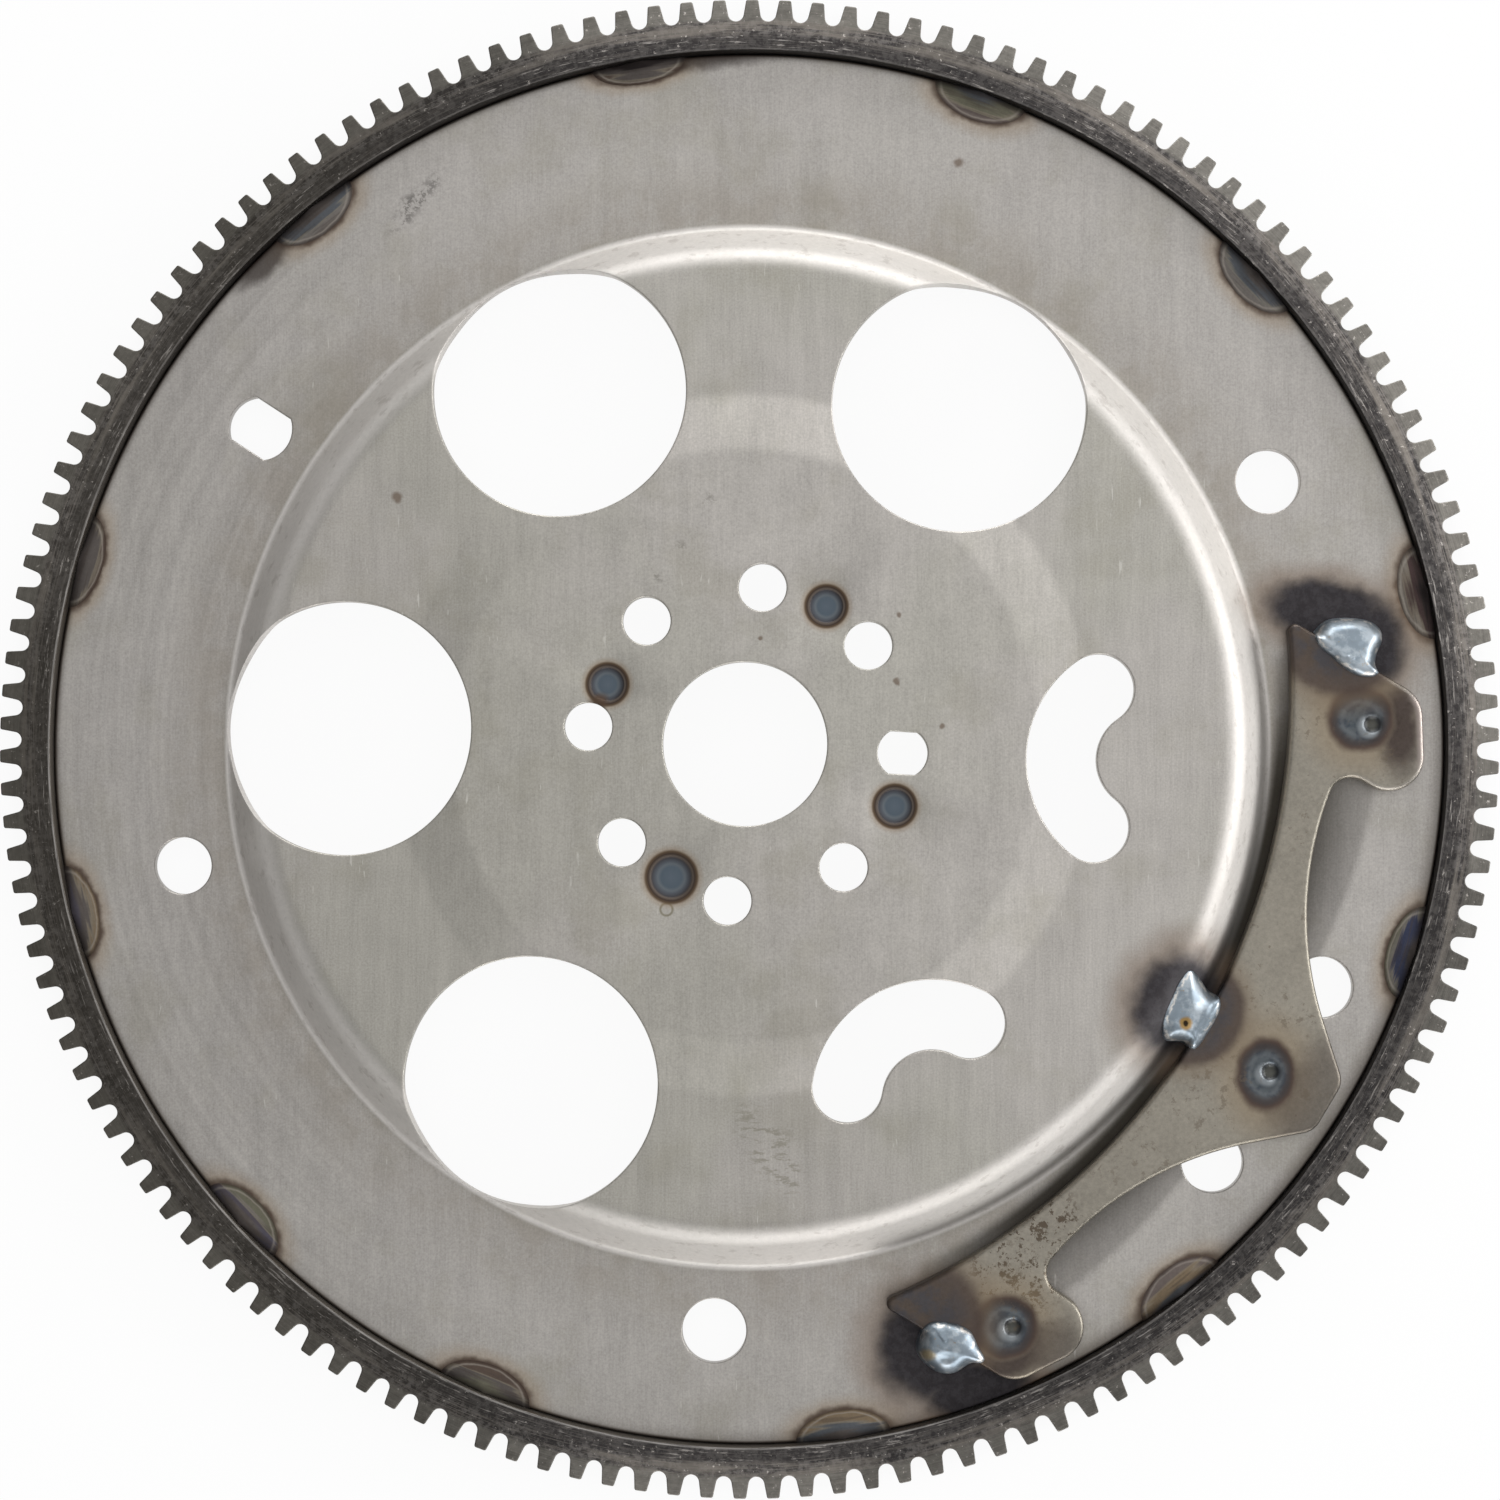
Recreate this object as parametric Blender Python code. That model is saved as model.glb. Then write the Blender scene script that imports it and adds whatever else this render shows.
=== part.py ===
"""Flexplate of an automatic gearbox: a pressed steel disc with a starter ring gear and a balance weight.

It lies on the back face of the ring gear, with the crankshaft axis along +Z and the domed hub upwards.
"""
import math

import bmesh
import bpy
from mathutils import Matrix, Vector

MM = 0.001
DEG = math.pi / 180

# Clearances and fineness
SEAT_GAP = 0.3 * MM            # left between pieces that touch
CUT_MARGIN = 2 * MM            # how far a cutter reaches past the faces that it cuts
CHORD_TOLERANCE = 0.085 * MM   # how far a facet may lie inside its arc
FILLET_REACH = 0.98            # share of a side that the fillets at its two ends may take together
SMOOTH_ANGLE = 30 * DEG        # sharper edges than this stay sharp

# Starter ring gear, full depth teeth of 12 diametral pitch
TOOTH_COUNT = 142
TIP_RADIUS = 152.4 * MM
RING_DEPTH = 10.4 * MM         # from the tips to the bore
RING_WIDTH = 9.5 * MM
LAND_WIDTH = 2.8 * MM          # flat front face beside the bore
NOSE_DROP = 1.2 * MM           # fall of the turned front bevel from the land to the tips
DEDENDUM_MODULES = 1.157
ROOT_ROUND_MODULES = 0.756
FLANK_ANGLE = 10 * DEG
TOOTH_PHASE = 0.8 * DEG
ROOT_ARC_STEPS = 3

# Pressed disc
DISC_THICKNESS = 2.8 * MM
RIM_RECESS = 3.5 * MM          # front of the flat rim below the front of the ring gear
RIM_FLAT_WIDTH = 36.0 * MM     # from the foot of the dome to the edge of the disc
DOME_HEIGHT = 11.5 * MM        # plateau above the flat rim
HUB_HEIGHT = 1.5 * MM          # hub pad above the plateau
HUB_RADIUS = 58.8 * MM
CONE_WIDTH = 11.3 * MM         # shallow cone between the hub pad and the plateau
WALL_ANGLE = 60 * DEG
SHOULDER_ROUND = 6.3 * MM
FOOT_ROUND = 1.5 * MM

# Holes of the hub
PILOT_RADIUS = 16.45 * MM
CRANK_CIRCLE = 31.6 * MM
CRANK_HOLE_RADIUS = 4.8 * MM
CRANK_SPACING = 45 * DEG
CRANK_FIRST = 38.6 * DEG
CRANK_ROUND_HOLES = 7
INDEX_ANGLE = -3.3 * DEG       # the eighth hole is out of step, so the plate fits one way only
INDEX_LENGTH = 10.0 * MM
INDEX_WIDTH = 8.5 * MM

# Holes of the plateau: four round windows and two kidney slots, evenly spaced on one circle
WINDOW_COUNT = 4
WINDOW_FIRST = 57.7 * DEG
WINDOW_SPACING = 60 * DEG
WINDOW_RIM_BITE = 0.3 * MM     # reach of a window past the foot of the dome
WINDOW_HUB_BITE = 3.8 * MM     # reach of a window into the hub pad
KIDNEY_COUNT = 2
KIDNEY_INSET = 1.35 * MM       # outer edge of a kidney slot inside the circle of a window
TONGUE_RADIUS = 10.1 * MM      # the metal that a kidney slot bends round
KIDNEY_HALF_SPAN = 54 * DEG

# Holes of the flat rim, each with the land between it and the foot of the dome or the disc's edge
CONVERTER_HOLE_RADIUS = 6.5 * MM
CONVERTER_FOOT_LAND = 6.8 * MM
CONVERTER_FIRST = 26.85 * DEG
CONVERTER_SPACING = 120 * DEG
FLATTED_HOLE_FLATS = 10.0 * MM
DRAIN_RADIUS = 5.8 * MM
DRAIN_FOOT_LAND = 6.2 * MM
DRAIN_ANGLE = 192.0 * DEG
SIDE_RADIUS = 6.2 * MM
SIDE_EDGE_LAND = 8.8 * MM
SIDE_ANGLES = (337.2 * DEG, 318.2 * DEG)

# Spot welds that hold the hub plate: angle, distance outside the bolt circle, radius of the electrode mark
SPOT_MARKS = (
    (59.4 * DEG, 0.45 * MM, 3.3 * MM),
    (156.5 * DEG, -1.55 * MM, 3.3 * MM),
    (241.1 * DEG, -1.15 * MM, 4.2 * MM),
    (337.4 * DEG, 0.85 * MM, 3.4 * MM),
)
SPOT_DEPTH = 0.25 * MM

# Hub plate behind the hub pad
PLATE_EDGE_LAND = 5.5 * MM     # metal outside its bolt holes
PLATE_THICKNESS = 2.5 * MM
PLATE_CHAMFER = 0.5 * MM
PLATE_HOLE_CLEARANCE = 0.25 * MM

# Balance weight, measured along its own axis of symmetry and across it
WEIGHT_THICKNESS = 4.8 * MM
WEIGHT_AXIS_ANGLE = 329.1 * DEG
WEIGHT_SIDE_SHIFT = 2.3 * MM   # the weight is welded on slightly out of line
WEIGHT_RIM_CLEARANCE = 3.8 * MM
WEIGHT_FOOT_CLEARANCE = 2.1 * MM
WEIGHT_INNER_ROUND = 133.0 * MM
WEIGHT_HALF_SPAN = 80.6 * MM
HORN_HALF_WIDTH = 5.7 * MM
HORN_ROUND = 4.5 * MM
SADDLE_NECK = 6.5 * MM         # from the inner edge to the corner of the saddle
SADDLE_ROUND = 70.0 * MM
LOBE_WIDTH = 20.6 * MM
LOBE_PEAK_RISE = 0.9 * MM
LOBE_ROUND = 7.0 * MM
NOTCH_NECK = 11.6 * MM         # from the inner edge to the corner of the notch
NOTCH_ROUND = 4.5 * MM
TAIL_ROUND = 1.5 * MM
WEIGHT_EDGE_ROUND = 0.6 * MM
EDGE_ROUND_STEPS = 2

# Burnt craters of the three projection welds in the weight
CRATER_END_INSET = 9.8 * MM
CRATER_SIDE_INSET = 12.3 * MM
CRATER_MID_INSET = 13.7 * MM
CRATER_RADIUS = 2.0 * MM
CRATER_FLOOR_RADIUS = 0.7 * MM
CRATER_DEPTH = 1.8 * MM
DISH_RADIUS = 5.8 * MM
DISH_DEPTH = 0.35 * MM

# Beads that tie the weight to the disc: half sizes across, along and upwards
END_BEAD_OVERHANG = 2.0 * MM   # centre of an end bead beyond the end of the weight
END_BEAD_SINK = 1.0 * MM       # centre of an end bead below the front of the weight
UPPER_BEAD_SHIFT = -2.0 * MM   # centre of the bead outwards from the middle of the weight's end
UPPER_BEAD_HALF = (5.8 * MM, 7.6 * MM, 5.0 * MM)
LOWER_BEAD_SHIFT = 1.5 * MM
LOWER_BEAD_HALF = (5.2 * MM, 6.5 * MM, 5.0 * MM)
MIDDLE_BEAD_HALF = (7.2 * MM, 5.4 * MM, 4.6 * MM)
MIDDLE_BEAD_INSET = 3.2 * MM   # centre of the middle bead inside the inner edge of the weight
BEAD_SEGMENTS = 20
BEAD_RINGS = 10

# Welds between disc and ring gear
RIM_WELD_ANGLES = [
    degrees * DEG
    for degrees in (12.7, 42.7, 70.2, 99.0, 129.0, 164.5, 193.9, 223.3, 247.9, 278.0, 308.5, 342.7)
]
RIM_WELD_HALF_LENGTH = 9.7 * MM
RIM_WELD_REACH = 5.7 * MM
RIM_WELD_HEIGHT = 1.6 * MM
RIM_WELD_SEGMENTS = 14
RIM_WELD_RINGS = 6

# Values that follow from the sizes above
MODULE = 2 * TIP_RADIUS / (TOOTH_COUNT + 2)
ROOT_RADIUS = TIP_RADIUS - MODULE * (1 + DEDENDUM_MODULES)
ROOT_ROUND = ROOT_ROUND_MODULES * MODULE
BORE_RADIUS = TIP_RADIUS - RING_DEPTH
DISC_RADIUS = BORE_RADIUS - SEAT_GAP
FOOT_RADIUS = DISC_RADIUS - RIM_FLAT_WIDTH
PLATEAU_RADIUS = HUB_RADIUS + CONE_WIDTH
RIM_Z = RING_WIDTH - RIM_RECESS
PLATEAU_Z = RIM_Z + DOME_HEIGHT
HUB_Z = PLATEAU_Z + HUB_HEIGHT
WINDOW_RADIUS = (FOOT_RADIUS + WINDOW_RIM_BITE - HUB_RADIUS + WINDOW_HUB_BITE) / 2
WINDOW_CIRCLE = FOOT_RADIUS + WINDOW_RIM_BITE - WINDOW_RADIUS
CONVERTER_CIRCLE = FOOT_RADIUS + CONVERTER_FOOT_LAND + CONVERTER_HOLE_RADIUS
DRAIN_CIRCLE = FOOT_RADIUS + DRAIN_FOOT_LAND + DRAIN_RADIUS
SIDE_CIRCLE = DISC_RADIUS - SIDE_EDGE_LAND - SIDE_RADIUS
PLATE_RADIUS = CRANK_CIRCLE + CRANK_HOLE_RADIUS + PLATE_EDGE_LAND
PLATE_TOP_Z = HUB_Z - DISC_THICKNESS - SEAT_GAP
WEIGHT_Z = RIM_Z + SEAT_GAP
WEIGHT_TOP_Z = WEIGHT_Z + WEIGHT_THICKNESS
WEIGHT_CREST = BORE_RADIUS - WEIGHT_RIM_CLEARANCE
WEIGHT_INNER_CENTRE = FOOT_RADIUS + WEIGHT_FOOT_CLEARANCE - WEIGHT_INNER_ROUND
NOTCH_ACROSS = WEIGHT_HALF_SPAN - LOBE_WIDTH
SADDLE_ACROSS = NOTCH_ACROSS / 2
CRATER_ACROSS = WEIGHT_HALF_SPAN - CRATER_END_INSET


def clear_scene():
    for item in list(bpy.data.objects):
        bpy.data.objects.remove(item)


def finish(name, colour, roughness, metallic):
    """A material with one Principled shader."""
    made = bpy.data.materials.new(name)
    made.use_nodes = True
    shader = made.node_tree.nodes["Principled BSDF"]
    shader.inputs["Base Color"].default_value = (*colour, 1)
    shader.inputs["Roughness"].default_value = roughness
    shader.inputs["Metallic"].default_value = metallic
    return made


def mesh_object(name, shape, material=None):
    """Turn a bmesh into a linked object with outward faces and smooth round sides."""
    bmesh.ops.recalc_face_normals(shape, faces=shape.faces)
    mesh = bpy.data.meshes.new(name)
    shape.to_mesh(mesh)
    shape.free()
    made = bpy.data.objects.new(name, mesh)
    bpy.context.collection.objects.link(made)
    if material:
        mesh.materials.append(material)
        mesh.shade_smooth()
        mesh.set_sharp_from_angle(angle=SMOOTH_ANGLE)
    return made


def as_cutter(made):
    made.hide_render = True
    made.display_type = "WIRE"
    return made


def cut(made, cutter):
    """Take the cutter's volume out of an object."""
    difference = made.modifiers.new(f"cut_{cutter.name}", "BOOLEAN")
    difference.operation = "DIFFERENCE"
    difference.solver = "EXACT"
    difference.object = cutter


def polar(radius, angle):
    return Vector((radius * math.cos(angle), radius * math.sin(angle)))


def steps_for(radius, sweep):
    """How many straight steps keep an arc within the chord tolerance."""
    share = min(CHORD_TOLERANCE / radius, 1)
    return max(math.ceil(abs(sweep) / (2 * math.acos(1 - share))), 1)


def arc(centre, radius, start, end, steps=None):
    steps = steps or steps_for(radius, end - start)
    return [centre + polar(radius, start + (end - start) * step / steps) for step in range(steps + 1)]


def circle(centre, radius):
    return arc(centre, radius, 0, 2 * math.pi)[:-1]


def corner_trim(before, corner, after, radius):
    """Length that a fillet takes from each of the two sides of its corner."""
    return radius / math.tan((before - corner).angle(after - corner) / 2)


def fillet(before, corner, after, radius):
    """Points of the arc that rounds a corner."""
    to_before = before - corner
    to_after = after - corner
    half_angle = to_before.angle(to_after) / 2
    towards = (to_before.normalized() + to_after.normalized()).normalized()
    centre = corner + towards * radius / math.sin(half_angle)
    start = corner + to_before.normalized() * radius / math.tan(half_angle) - centre
    sweep = math.pi - 2 * half_angle
    turns_left = to_before.y * to_after.x - to_before.x * to_after.y > 0
    first = math.atan2(start.y, start.x)
    return arc(centre, radius, first, first + (sweep if turns_left else -sweep))


def rounded_path(corners, closed=False):
    """Points of a path given by corners of (place, radius), where two fillets share the side between them."""
    count = len(corners)
    places = [place for place, _ in corners]
    trims = []
    for index, (place, radius) in enumerate(corners):
        is_sharp = radius <= 0 or (not closed and index in (0, count - 1))
        around = places[index - 1], place, places[(index + 1) % count]
        trims.append(0 if is_sharp else corner_trim(*around, radius))
    points = []
    for index, (place, radius) in enumerate(corners):
        if trims[index] == 0:
            points.append(place.copy())
            continue
        share = 1
        for other in (index - 1, (index + 1) % count):
            side = (places[other] - place).length
            share = min(share, FILLET_REACH * side / (trims[index] + trims[other]))
        points += fillet(places[index - 1], place, places[(index + 1) % count], share * radius)
    return points


def offset_corners(corners, distance):
    """Shift an open path of corners sideways, to the right of its direction, with concentric fillets."""
    shifted = []
    for index, (place, radius) in enumerate(corners):
        before = corners[max(index - 1, 0)][0]
        after = corners[min(index + 1, len(corners) - 1)][0]
        incoming = (place - before) if index > 0 else (after - place)
        outgoing = (after - place) if index < len(corners) - 1 else incoming
        first = Vector((incoming.y, -incoming.x)).normalized()
        second = Vector((outgoing.y, -outgoing.x)).normalized()
        moved = place + (first + second) * distance / (1 + first.dot(second))
        turns_right = incoming.x * outgoing.y - incoming.y * outgoing.x < 0
        kept = radius - distance if turns_right else radius + distance
        shifted.append((moved, max(kept, 0) if radius > 0 else 0))
    return shifted


def turned(profile, steps):
    """Spin a closed profile of (radius, height) points about the Z axis."""
    shape = bmesh.new()
    verts = [shape.verts.new((point.x, 0, point.y)) for point in profile]
    edges = [shape.edges.new((verts[index - 1], verts[index])) for index in range(len(verts))]
    bmesh.ops.spin(
        shape, geom=verts + edges, cent=(0, 0, 0), axis=(0, 0, 1),
        angle=2 * math.pi, steps=steps, use_merge=True,
    )
    return shape


def add_stack(shape, loops):
    """Add a closed solid through loops of (x, y, z) points that match one for one; return its last face."""
    rows = [[shape.verts.new(point) for point in loop] for loop in loops]
    for lower, upper in zip(rows, rows[1:]):
        for index in range(len(lower)):
            shape.faces.new((lower[index - 1], lower[index], upper[index], upper[index - 1]))
    shape.faces.new(rows[0])
    return shape.faces.new(rows[-1])


def add_prism(shape, outline, low, high):
    """Add a closed prism over an outline of (x, y) points; return its top face."""
    return add_stack(shape, [[(point.x, point.y, height) for point in outline] for height in (low, high)])


def flatted_circle(centre, radius, across_flats, angle):
    """A round hole with two flats that run along the given direction."""
    half = math.asin(min(across_flats / 2 / radius, 1))
    outer = arc(centre, radius, angle - half, angle + half)
    inner = arc(centre, radius, angle + math.pi - half, angle + math.pi + half)
    return outer + inner


def kidney(centre, inward):
    """A slot bent round a centre, with its middle towards the given direction and round ends."""
    outer = WINDOW_RADIUS - KIDNEY_INSET
    middle = (outer + TONGUE_RADIUS) / 2
    end_round = (outer - TONGUE_RADIUS) / 2
    start = inward - KIDNEY_HALF_SPAN
    end = inward + KIDNEY_HALF_SPAN
    outline = arc(centre, outer, start, end)
    outline += arc(centre + polar(middle, end), end_round, end, end + math.pi)[1:-1]
    outline += arc(centre, TONGUE_RADIUS, end, start)
    outline += arc(centre + polar(middle, start), end_round, start + math.pi, start + 2 * math.pi)[1:-1]
    return outline


def front_corners():
    """Corners of the disc's front surface, from the pilot hole to the rim."""
    shoulder_radius = FOOT_RADIUS - DOME_HEIGHT / math.tan(WALL_ANGLE)
    return [
        (Vector((PILOT_RADIUS, HUB_Z)), 0),
        (Vector((HUB_RADIUS, HUB_Z)), 0),
        (Vector((PLATEAU_RADIUS, PLATEAU_Z)), 0),
        (Vector((shoulder_radius, PLATEAU_Z)), SHOULDER_ROUND),
        (Vector((FOOT_RADIUS, RIM_Z)), FOOT_ROUND),
        (Vector((DISC_RADIUS, RIM_Z)), 0),
    ]


def crank_outlines(clearance=0):
    """Outlines of the eight holes for the crankshaft bolts."""
    outlines = []
    for index in range(CRANK_ROUND_HOLES):
        centre = polar(CRANK_CIRCLE, CRANK_FIRST + index * CRANK_SPACING)
        outlines.append(circle(centre, CRANK_HOLE_RADIUS + clearance))
    outlines.append(flatted_circle(
        polar(CRANK_CIRCLE, INDEX_ANGLE), INDEX_LENGTH / 2 + clearance,
        INDEX_WIDTH + 2 * clearance, INDEX_ANGLE,
    ))
    return outlines


def plateau_outlines():
    """Outlines of the four round windows and the two kidney slots."""
    outlines = []
    for index in range(WINDOW_COUNT + KIDNEY_COUNT):
        angle = WINDOW_FIRST + index * WINDOW_SPACING
        centre = polar(WINDOW_CIRCLE, angle)
        is_window = index < WINDOW_COUNT
        outlines.append(circle(centre, WINDOW_RADIUS) if is_window else kidney(centre, angle + math.pi))
    return outlines


def rim_outlines():
    """Outlines of the converter bolt holes and of the other holes in the flat rim."""
    second = CONVERTER_FIRST + CONVERTER_SPACING
    outlines = [
        circle(polar(CONVERTER_CIRCLE, CONVERTER_FIRST), CONVERTER_HOLE_RADIUS),
        flatted_circle(polar(CONVERTER_CIRCLE, second), CONVERTER_HOLE_RADIUS, FLATTED_HOLE_FLATS, second),
        circle(polar(CONVERTER_CIRCLE, second + CONVERTER_SPACING), CONVERTER_HOLE_RADIUS),
        circle(polar(DRAIN_CIRCLE, DRAIN_ANGLE), DRAIN_RADIUS),
    ]
    outlines += [circle(polar(SIDE_CIRCLE, angle), SIDE_RADIUS) for angle in SIDE_ANGLES]
    return outlines


def flexplate_disc(material):
    """The pressed disc: one even thickness turned from the front corners, then pierced."""
    front = front_corners()
    back = offset_corners(front, DISC_THICKNESS)
    profile = rounded_path(front) + rounded_path(back)[::-1]
    disc = mesh_object("flexplate_disc", turned(profile, steps_for(DISC_RADIUS, 2 * math.pi)), material)
    punches = bmesh.new()
    for outline in crank_outlines() + plateau_outlines() + rim_outlines():
        add_prism(punches, outline, RIM_Z - DISC_THICKNESS - CUT_MARGIN, HUB_Z + CUT_MARGIN)
    for angle, outside, radius in SPOT_MARKS:
        mark = circle(polar(CRANK_CIRCLE + outside, angle), radius)
        add_prism(punches, mark, HUB_Z - SPOT_DEPTH, HUB_Z + CUT_MARGIN)
    cut(disc, as_cutter(mesh_object("punches", punches)))


def hub_plate(material):
    """The round plate behind the hub that spreads the load of the crankshaft bolts."""
    low = PLATE_TOP_Z - PLATE_THICKNESS
    bore = PILOT_RADIUS + PLATE_HOLE_CLEARANCE
    profile = [
        Vector((bore, PLATE_TOP_Z)),
        Vector((PLATE_RADIUS, PLATE_TOP_Z)),
        Vector((PLATE_RADIUS, low + PLATE_CHAMFER)),
        Vector((PLATE_RADIUS - PLATE_CHAMFER, low)),
        Vector((bore, low)),
    ]
    plate = mesh_object("hub_plate", turned(profile, steps_for(PLATE_RADIUS, 2 * math.pi)), material)
    drills = bmesh.new()
    for outline in crank_outlines(PLATE_HOLE_CLEARANCE):
        add_prism(drills, outline, low - CUT_MARGIN, PLATE_TOP_Z + CUT_MARGIN)
    cut(plate, as_cutter(mesh_object("plate_drills", drills)))


def tooth_gap():
    """Outline of one tooth gap on the +X axis: straight flanks into a full round root."""
    centre = ROOT_RADIUS + ROOT_ROUND
    mouth = TIP_RADIUS + CUT_MARGIN
    half_mouth = ROOT_ROUND / math.cos(FLANK_ANGLE) + (mouth - centre) * math.tan(FLANK_ANGLE)
    root = arc(
        Vector((centre, 0)), ROOT_ROUND,
        math.pi / 2 + FLANK_ANGLE, 3 * math.pi / 2 - FLANK_ANGLE, ROOT_ARC_STEPS,
    )
    return [Vector((mouth, half_mouth)), *root, Vector((mouth, -half_mouth))]


def ring_gear(material):
    """The ring gear: a turned ring with a bevelled front, hobbed tooth by tooth."""
    land = BORE_RADIUS + LAND_WIDTH
    profile = [
        Vector((BORE_RADIUS, RING_WIDTH)),
        Vector((land, RING_WIDTH)),
        Vector((TIP_RADIUS, RING_WIDTH - NOSE_DROP)),
        Vector((TIP_RADIUS, 0)),
        Vector((BORE_RADIUS, 0)),
    ]
    ring = mesh_object("ring_gear", turned(profile, TOOTH_COUNT), material)
    ring.rotation_euler.z = TOOTH_PHASE
    gaps = bmesh.new()
    pitch = 2 * math.pi / TOOTH_COUNT
    for index in range(TOOTH_COUNT):
        turn = Matrix.Rotation((index + 0.5) * pitch, 2)
        add_prism(gaps, [turn @ point for point in tooth_gap()], -CUT_MARGIN, RING_WIDTH + CUT_MARGIN)
    hob = as_cutter(mesh_object("hob", gaps))
    hob.rotation_euler.z = TOOTH_PHASE
    cut(ring, hob)


def crest_height(across):
    """Where the weight's outer circle, concentric with the disc, lies beside the weight's axis."""
    return math.sqrt(WEIGHT_CREST**2 - across**2)


def inner_height(across):
    """Where the weight's flatter inner edge lies beside the weight's axis."""
    return WEIGHT_INNER_CENTRE + math.sqrt(WEIGHT_INNER_ROUND**2 - across**2)


def weight_outline(grow=0):
    """Outline of the weight in its own frame: x across, y along its axis, from the wheel's axis."""
    half = [
        (Vector((HORN_HALF_WIDTH, WEIGHT_CREST)), HORN_ROUND),
        (Vector((SADDLE_ACROSS, inner_height(SADDLE_ACROSS) + SADDLE_NECK)), SADDLE_ROUND),
        (Vector((NOTCH_ACROSS, inner_height(NOTCH_ACROSS) + NOTCH_NECK)), NOTCH_ROUND),
        (Vector((NOTCH_ACROSS, crest_height(NOTCH_ACROSS) + LOBE_PEAK_RISE)), LOBE_ROUND),
        (Vector((WEIGHT_HALF_SPAN, crest_height(WEIGHT_HALF_SPAN))), LOBE_ROUND),
        (Vector((WEIGHT_HALF_SPAN, inner_height(WEIGHT_HALF_SPAN))), TAIL_ROUND),
    ]
    sweep = math.asin(WEIGHT_HALF_SPAN / WEIGHT_INNER_ROUND) - 2 * TAIL_ROUND / WEIGHT_INNER_ROUND
    inner = arc(
        Vector((0, WEIGHT_INNER_CENTRE)), WEIGHT_INNER_ROUND, math.pi / 2 - sweep, math.pi / 2 + sweep,
    )
    mirrored = [(Vector((-place.x, place.y)), radius) for place, radius in half[::-1]]
    outline = rounded_path(half + [(place, 0) for place in inner] + mirrored, closed=True)
    return grown(outline, grow) if grow else outline


def grown(outline, distance):
    """Push every point of a clockwise outline outwards."""
    pushed = []
    for index, point in enumerate(outline):
        before = outline[index - 1]
        after = outline[(index + 1) % len(outline)]
        along = (after - before).normalized()
        pushed.append(point + Vector((-along.y, along.x)) * distance)
    return pushed


def place_on_weight(made):
    """Turn an object from the weight's own frame to its place on the disc."""
    made.rotation_euler.z = WEIGHT_AXIS_ANGLE - math.pi / 2
    made.location = Matrix.Rotation(made.rotation_euler.z, 3, "Z") @ Vector((WEIGHT_SIDE_SHIFT, 0, 0))
    return made


def crater_cutter():
    """A shallow dish with a pit in its middle for each of the three projection welds."""
    side_along = crest_height(CRATER_ACROSS) - CRATER_SIDE_INSET
    centres = [
        Vector((-CRATER_ACROSS, side_along)),
        Vector((0, WEIGHT_CREST - CRATER_MID_INSET)),
        Vector((CRATER_ACROSS, side_along)),
    ]
    rings = [
        (CRATER_FLOOR_RADIUS, -CRATER_DEPTH),
        (CRATER_RADIUS, -DISH_DEPTH),
        (DISH_RADIUS, 0),
        (DISH_RADIUS, CUT_MARGIN),
    ]
    turns = circle(Vector((0, 0)), DISH_RADIUS)
    shape = bmesh.new()
    for centre in centres:
        loops = []
        for radius, height in rings:
            scaled = [centre + point * radius / DISH_RADIUS for point in turns]
            loops.append([(point.x, point.y, WEIGHT_TOP_Z + height) for point in scaled])
        add_stack(shape, loops)
    return place_on_weight(as_cutter(mesh_object("crater_tools", shape)))


def counterweight(material):
    """The balance weight: a thick blanked plate with rounded front edges and three weld craters."""
    shape = bmesh.new()
    top_face = add_prism(shape, weight_outline(), WEIGHT_Z, WEIGHT_TOP_Z)
    bmesh.ops.bevel(
        shape, geom=list(top_face.edges), offset=WEIGHT_EDGE_ROUND,
        segments=EDGE_ROUND_STEPS, profile=0.5, affect="EDGES",
    )
    weight = place_on_weight(mesh_object("counterweight", shape, material))
    cut(weight, crater_cutter())


def weld_seat():
    """What lies under the weld metal: the front of the disc and the bore of the ring gear, one gap proud."""
    surface = rounded_path(offset_corners(front_corners(), -SEAT_GAP))
    profile = surface + [
        Vector((surface[-1].x, RING_WIDTH)),
        Vector((TIP_RADIUS, RING_WIDTH)),
        Vector((TIP_RADIUS, 0)),
        Vector((surface[0].x, 0)),
    ]
    return as_cutter(mesh_object("weld_seat", turned(profile, steps_for(DISC_RADIUS, 2 * math.pi))))


def weight_seat():
    """The counterweight, one gap larger all round."""
    shape = bmesh.new()
    add_prism(shape, weight_outline(SEAT_GAP), RIM_Z - CUT_MARGIN, WEIGHT_TOP_Z + SEAT_GAP)
    return place_on_weight(as_cutter(mesh_object("weight_seat", shape)))


def bead(half_size, centre, segments, rings):
    """An oval lump of weld metal."""
    shape = bmesh.new()
    place = Matrix.Translation(centre) @ Matrix.Diagonal((*half_size, 1))
    bmesh.ops.create_uvsphere(shape, u_segments=segments, v_segments=rings, radius=1, matrix=place)
    return shape


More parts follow.
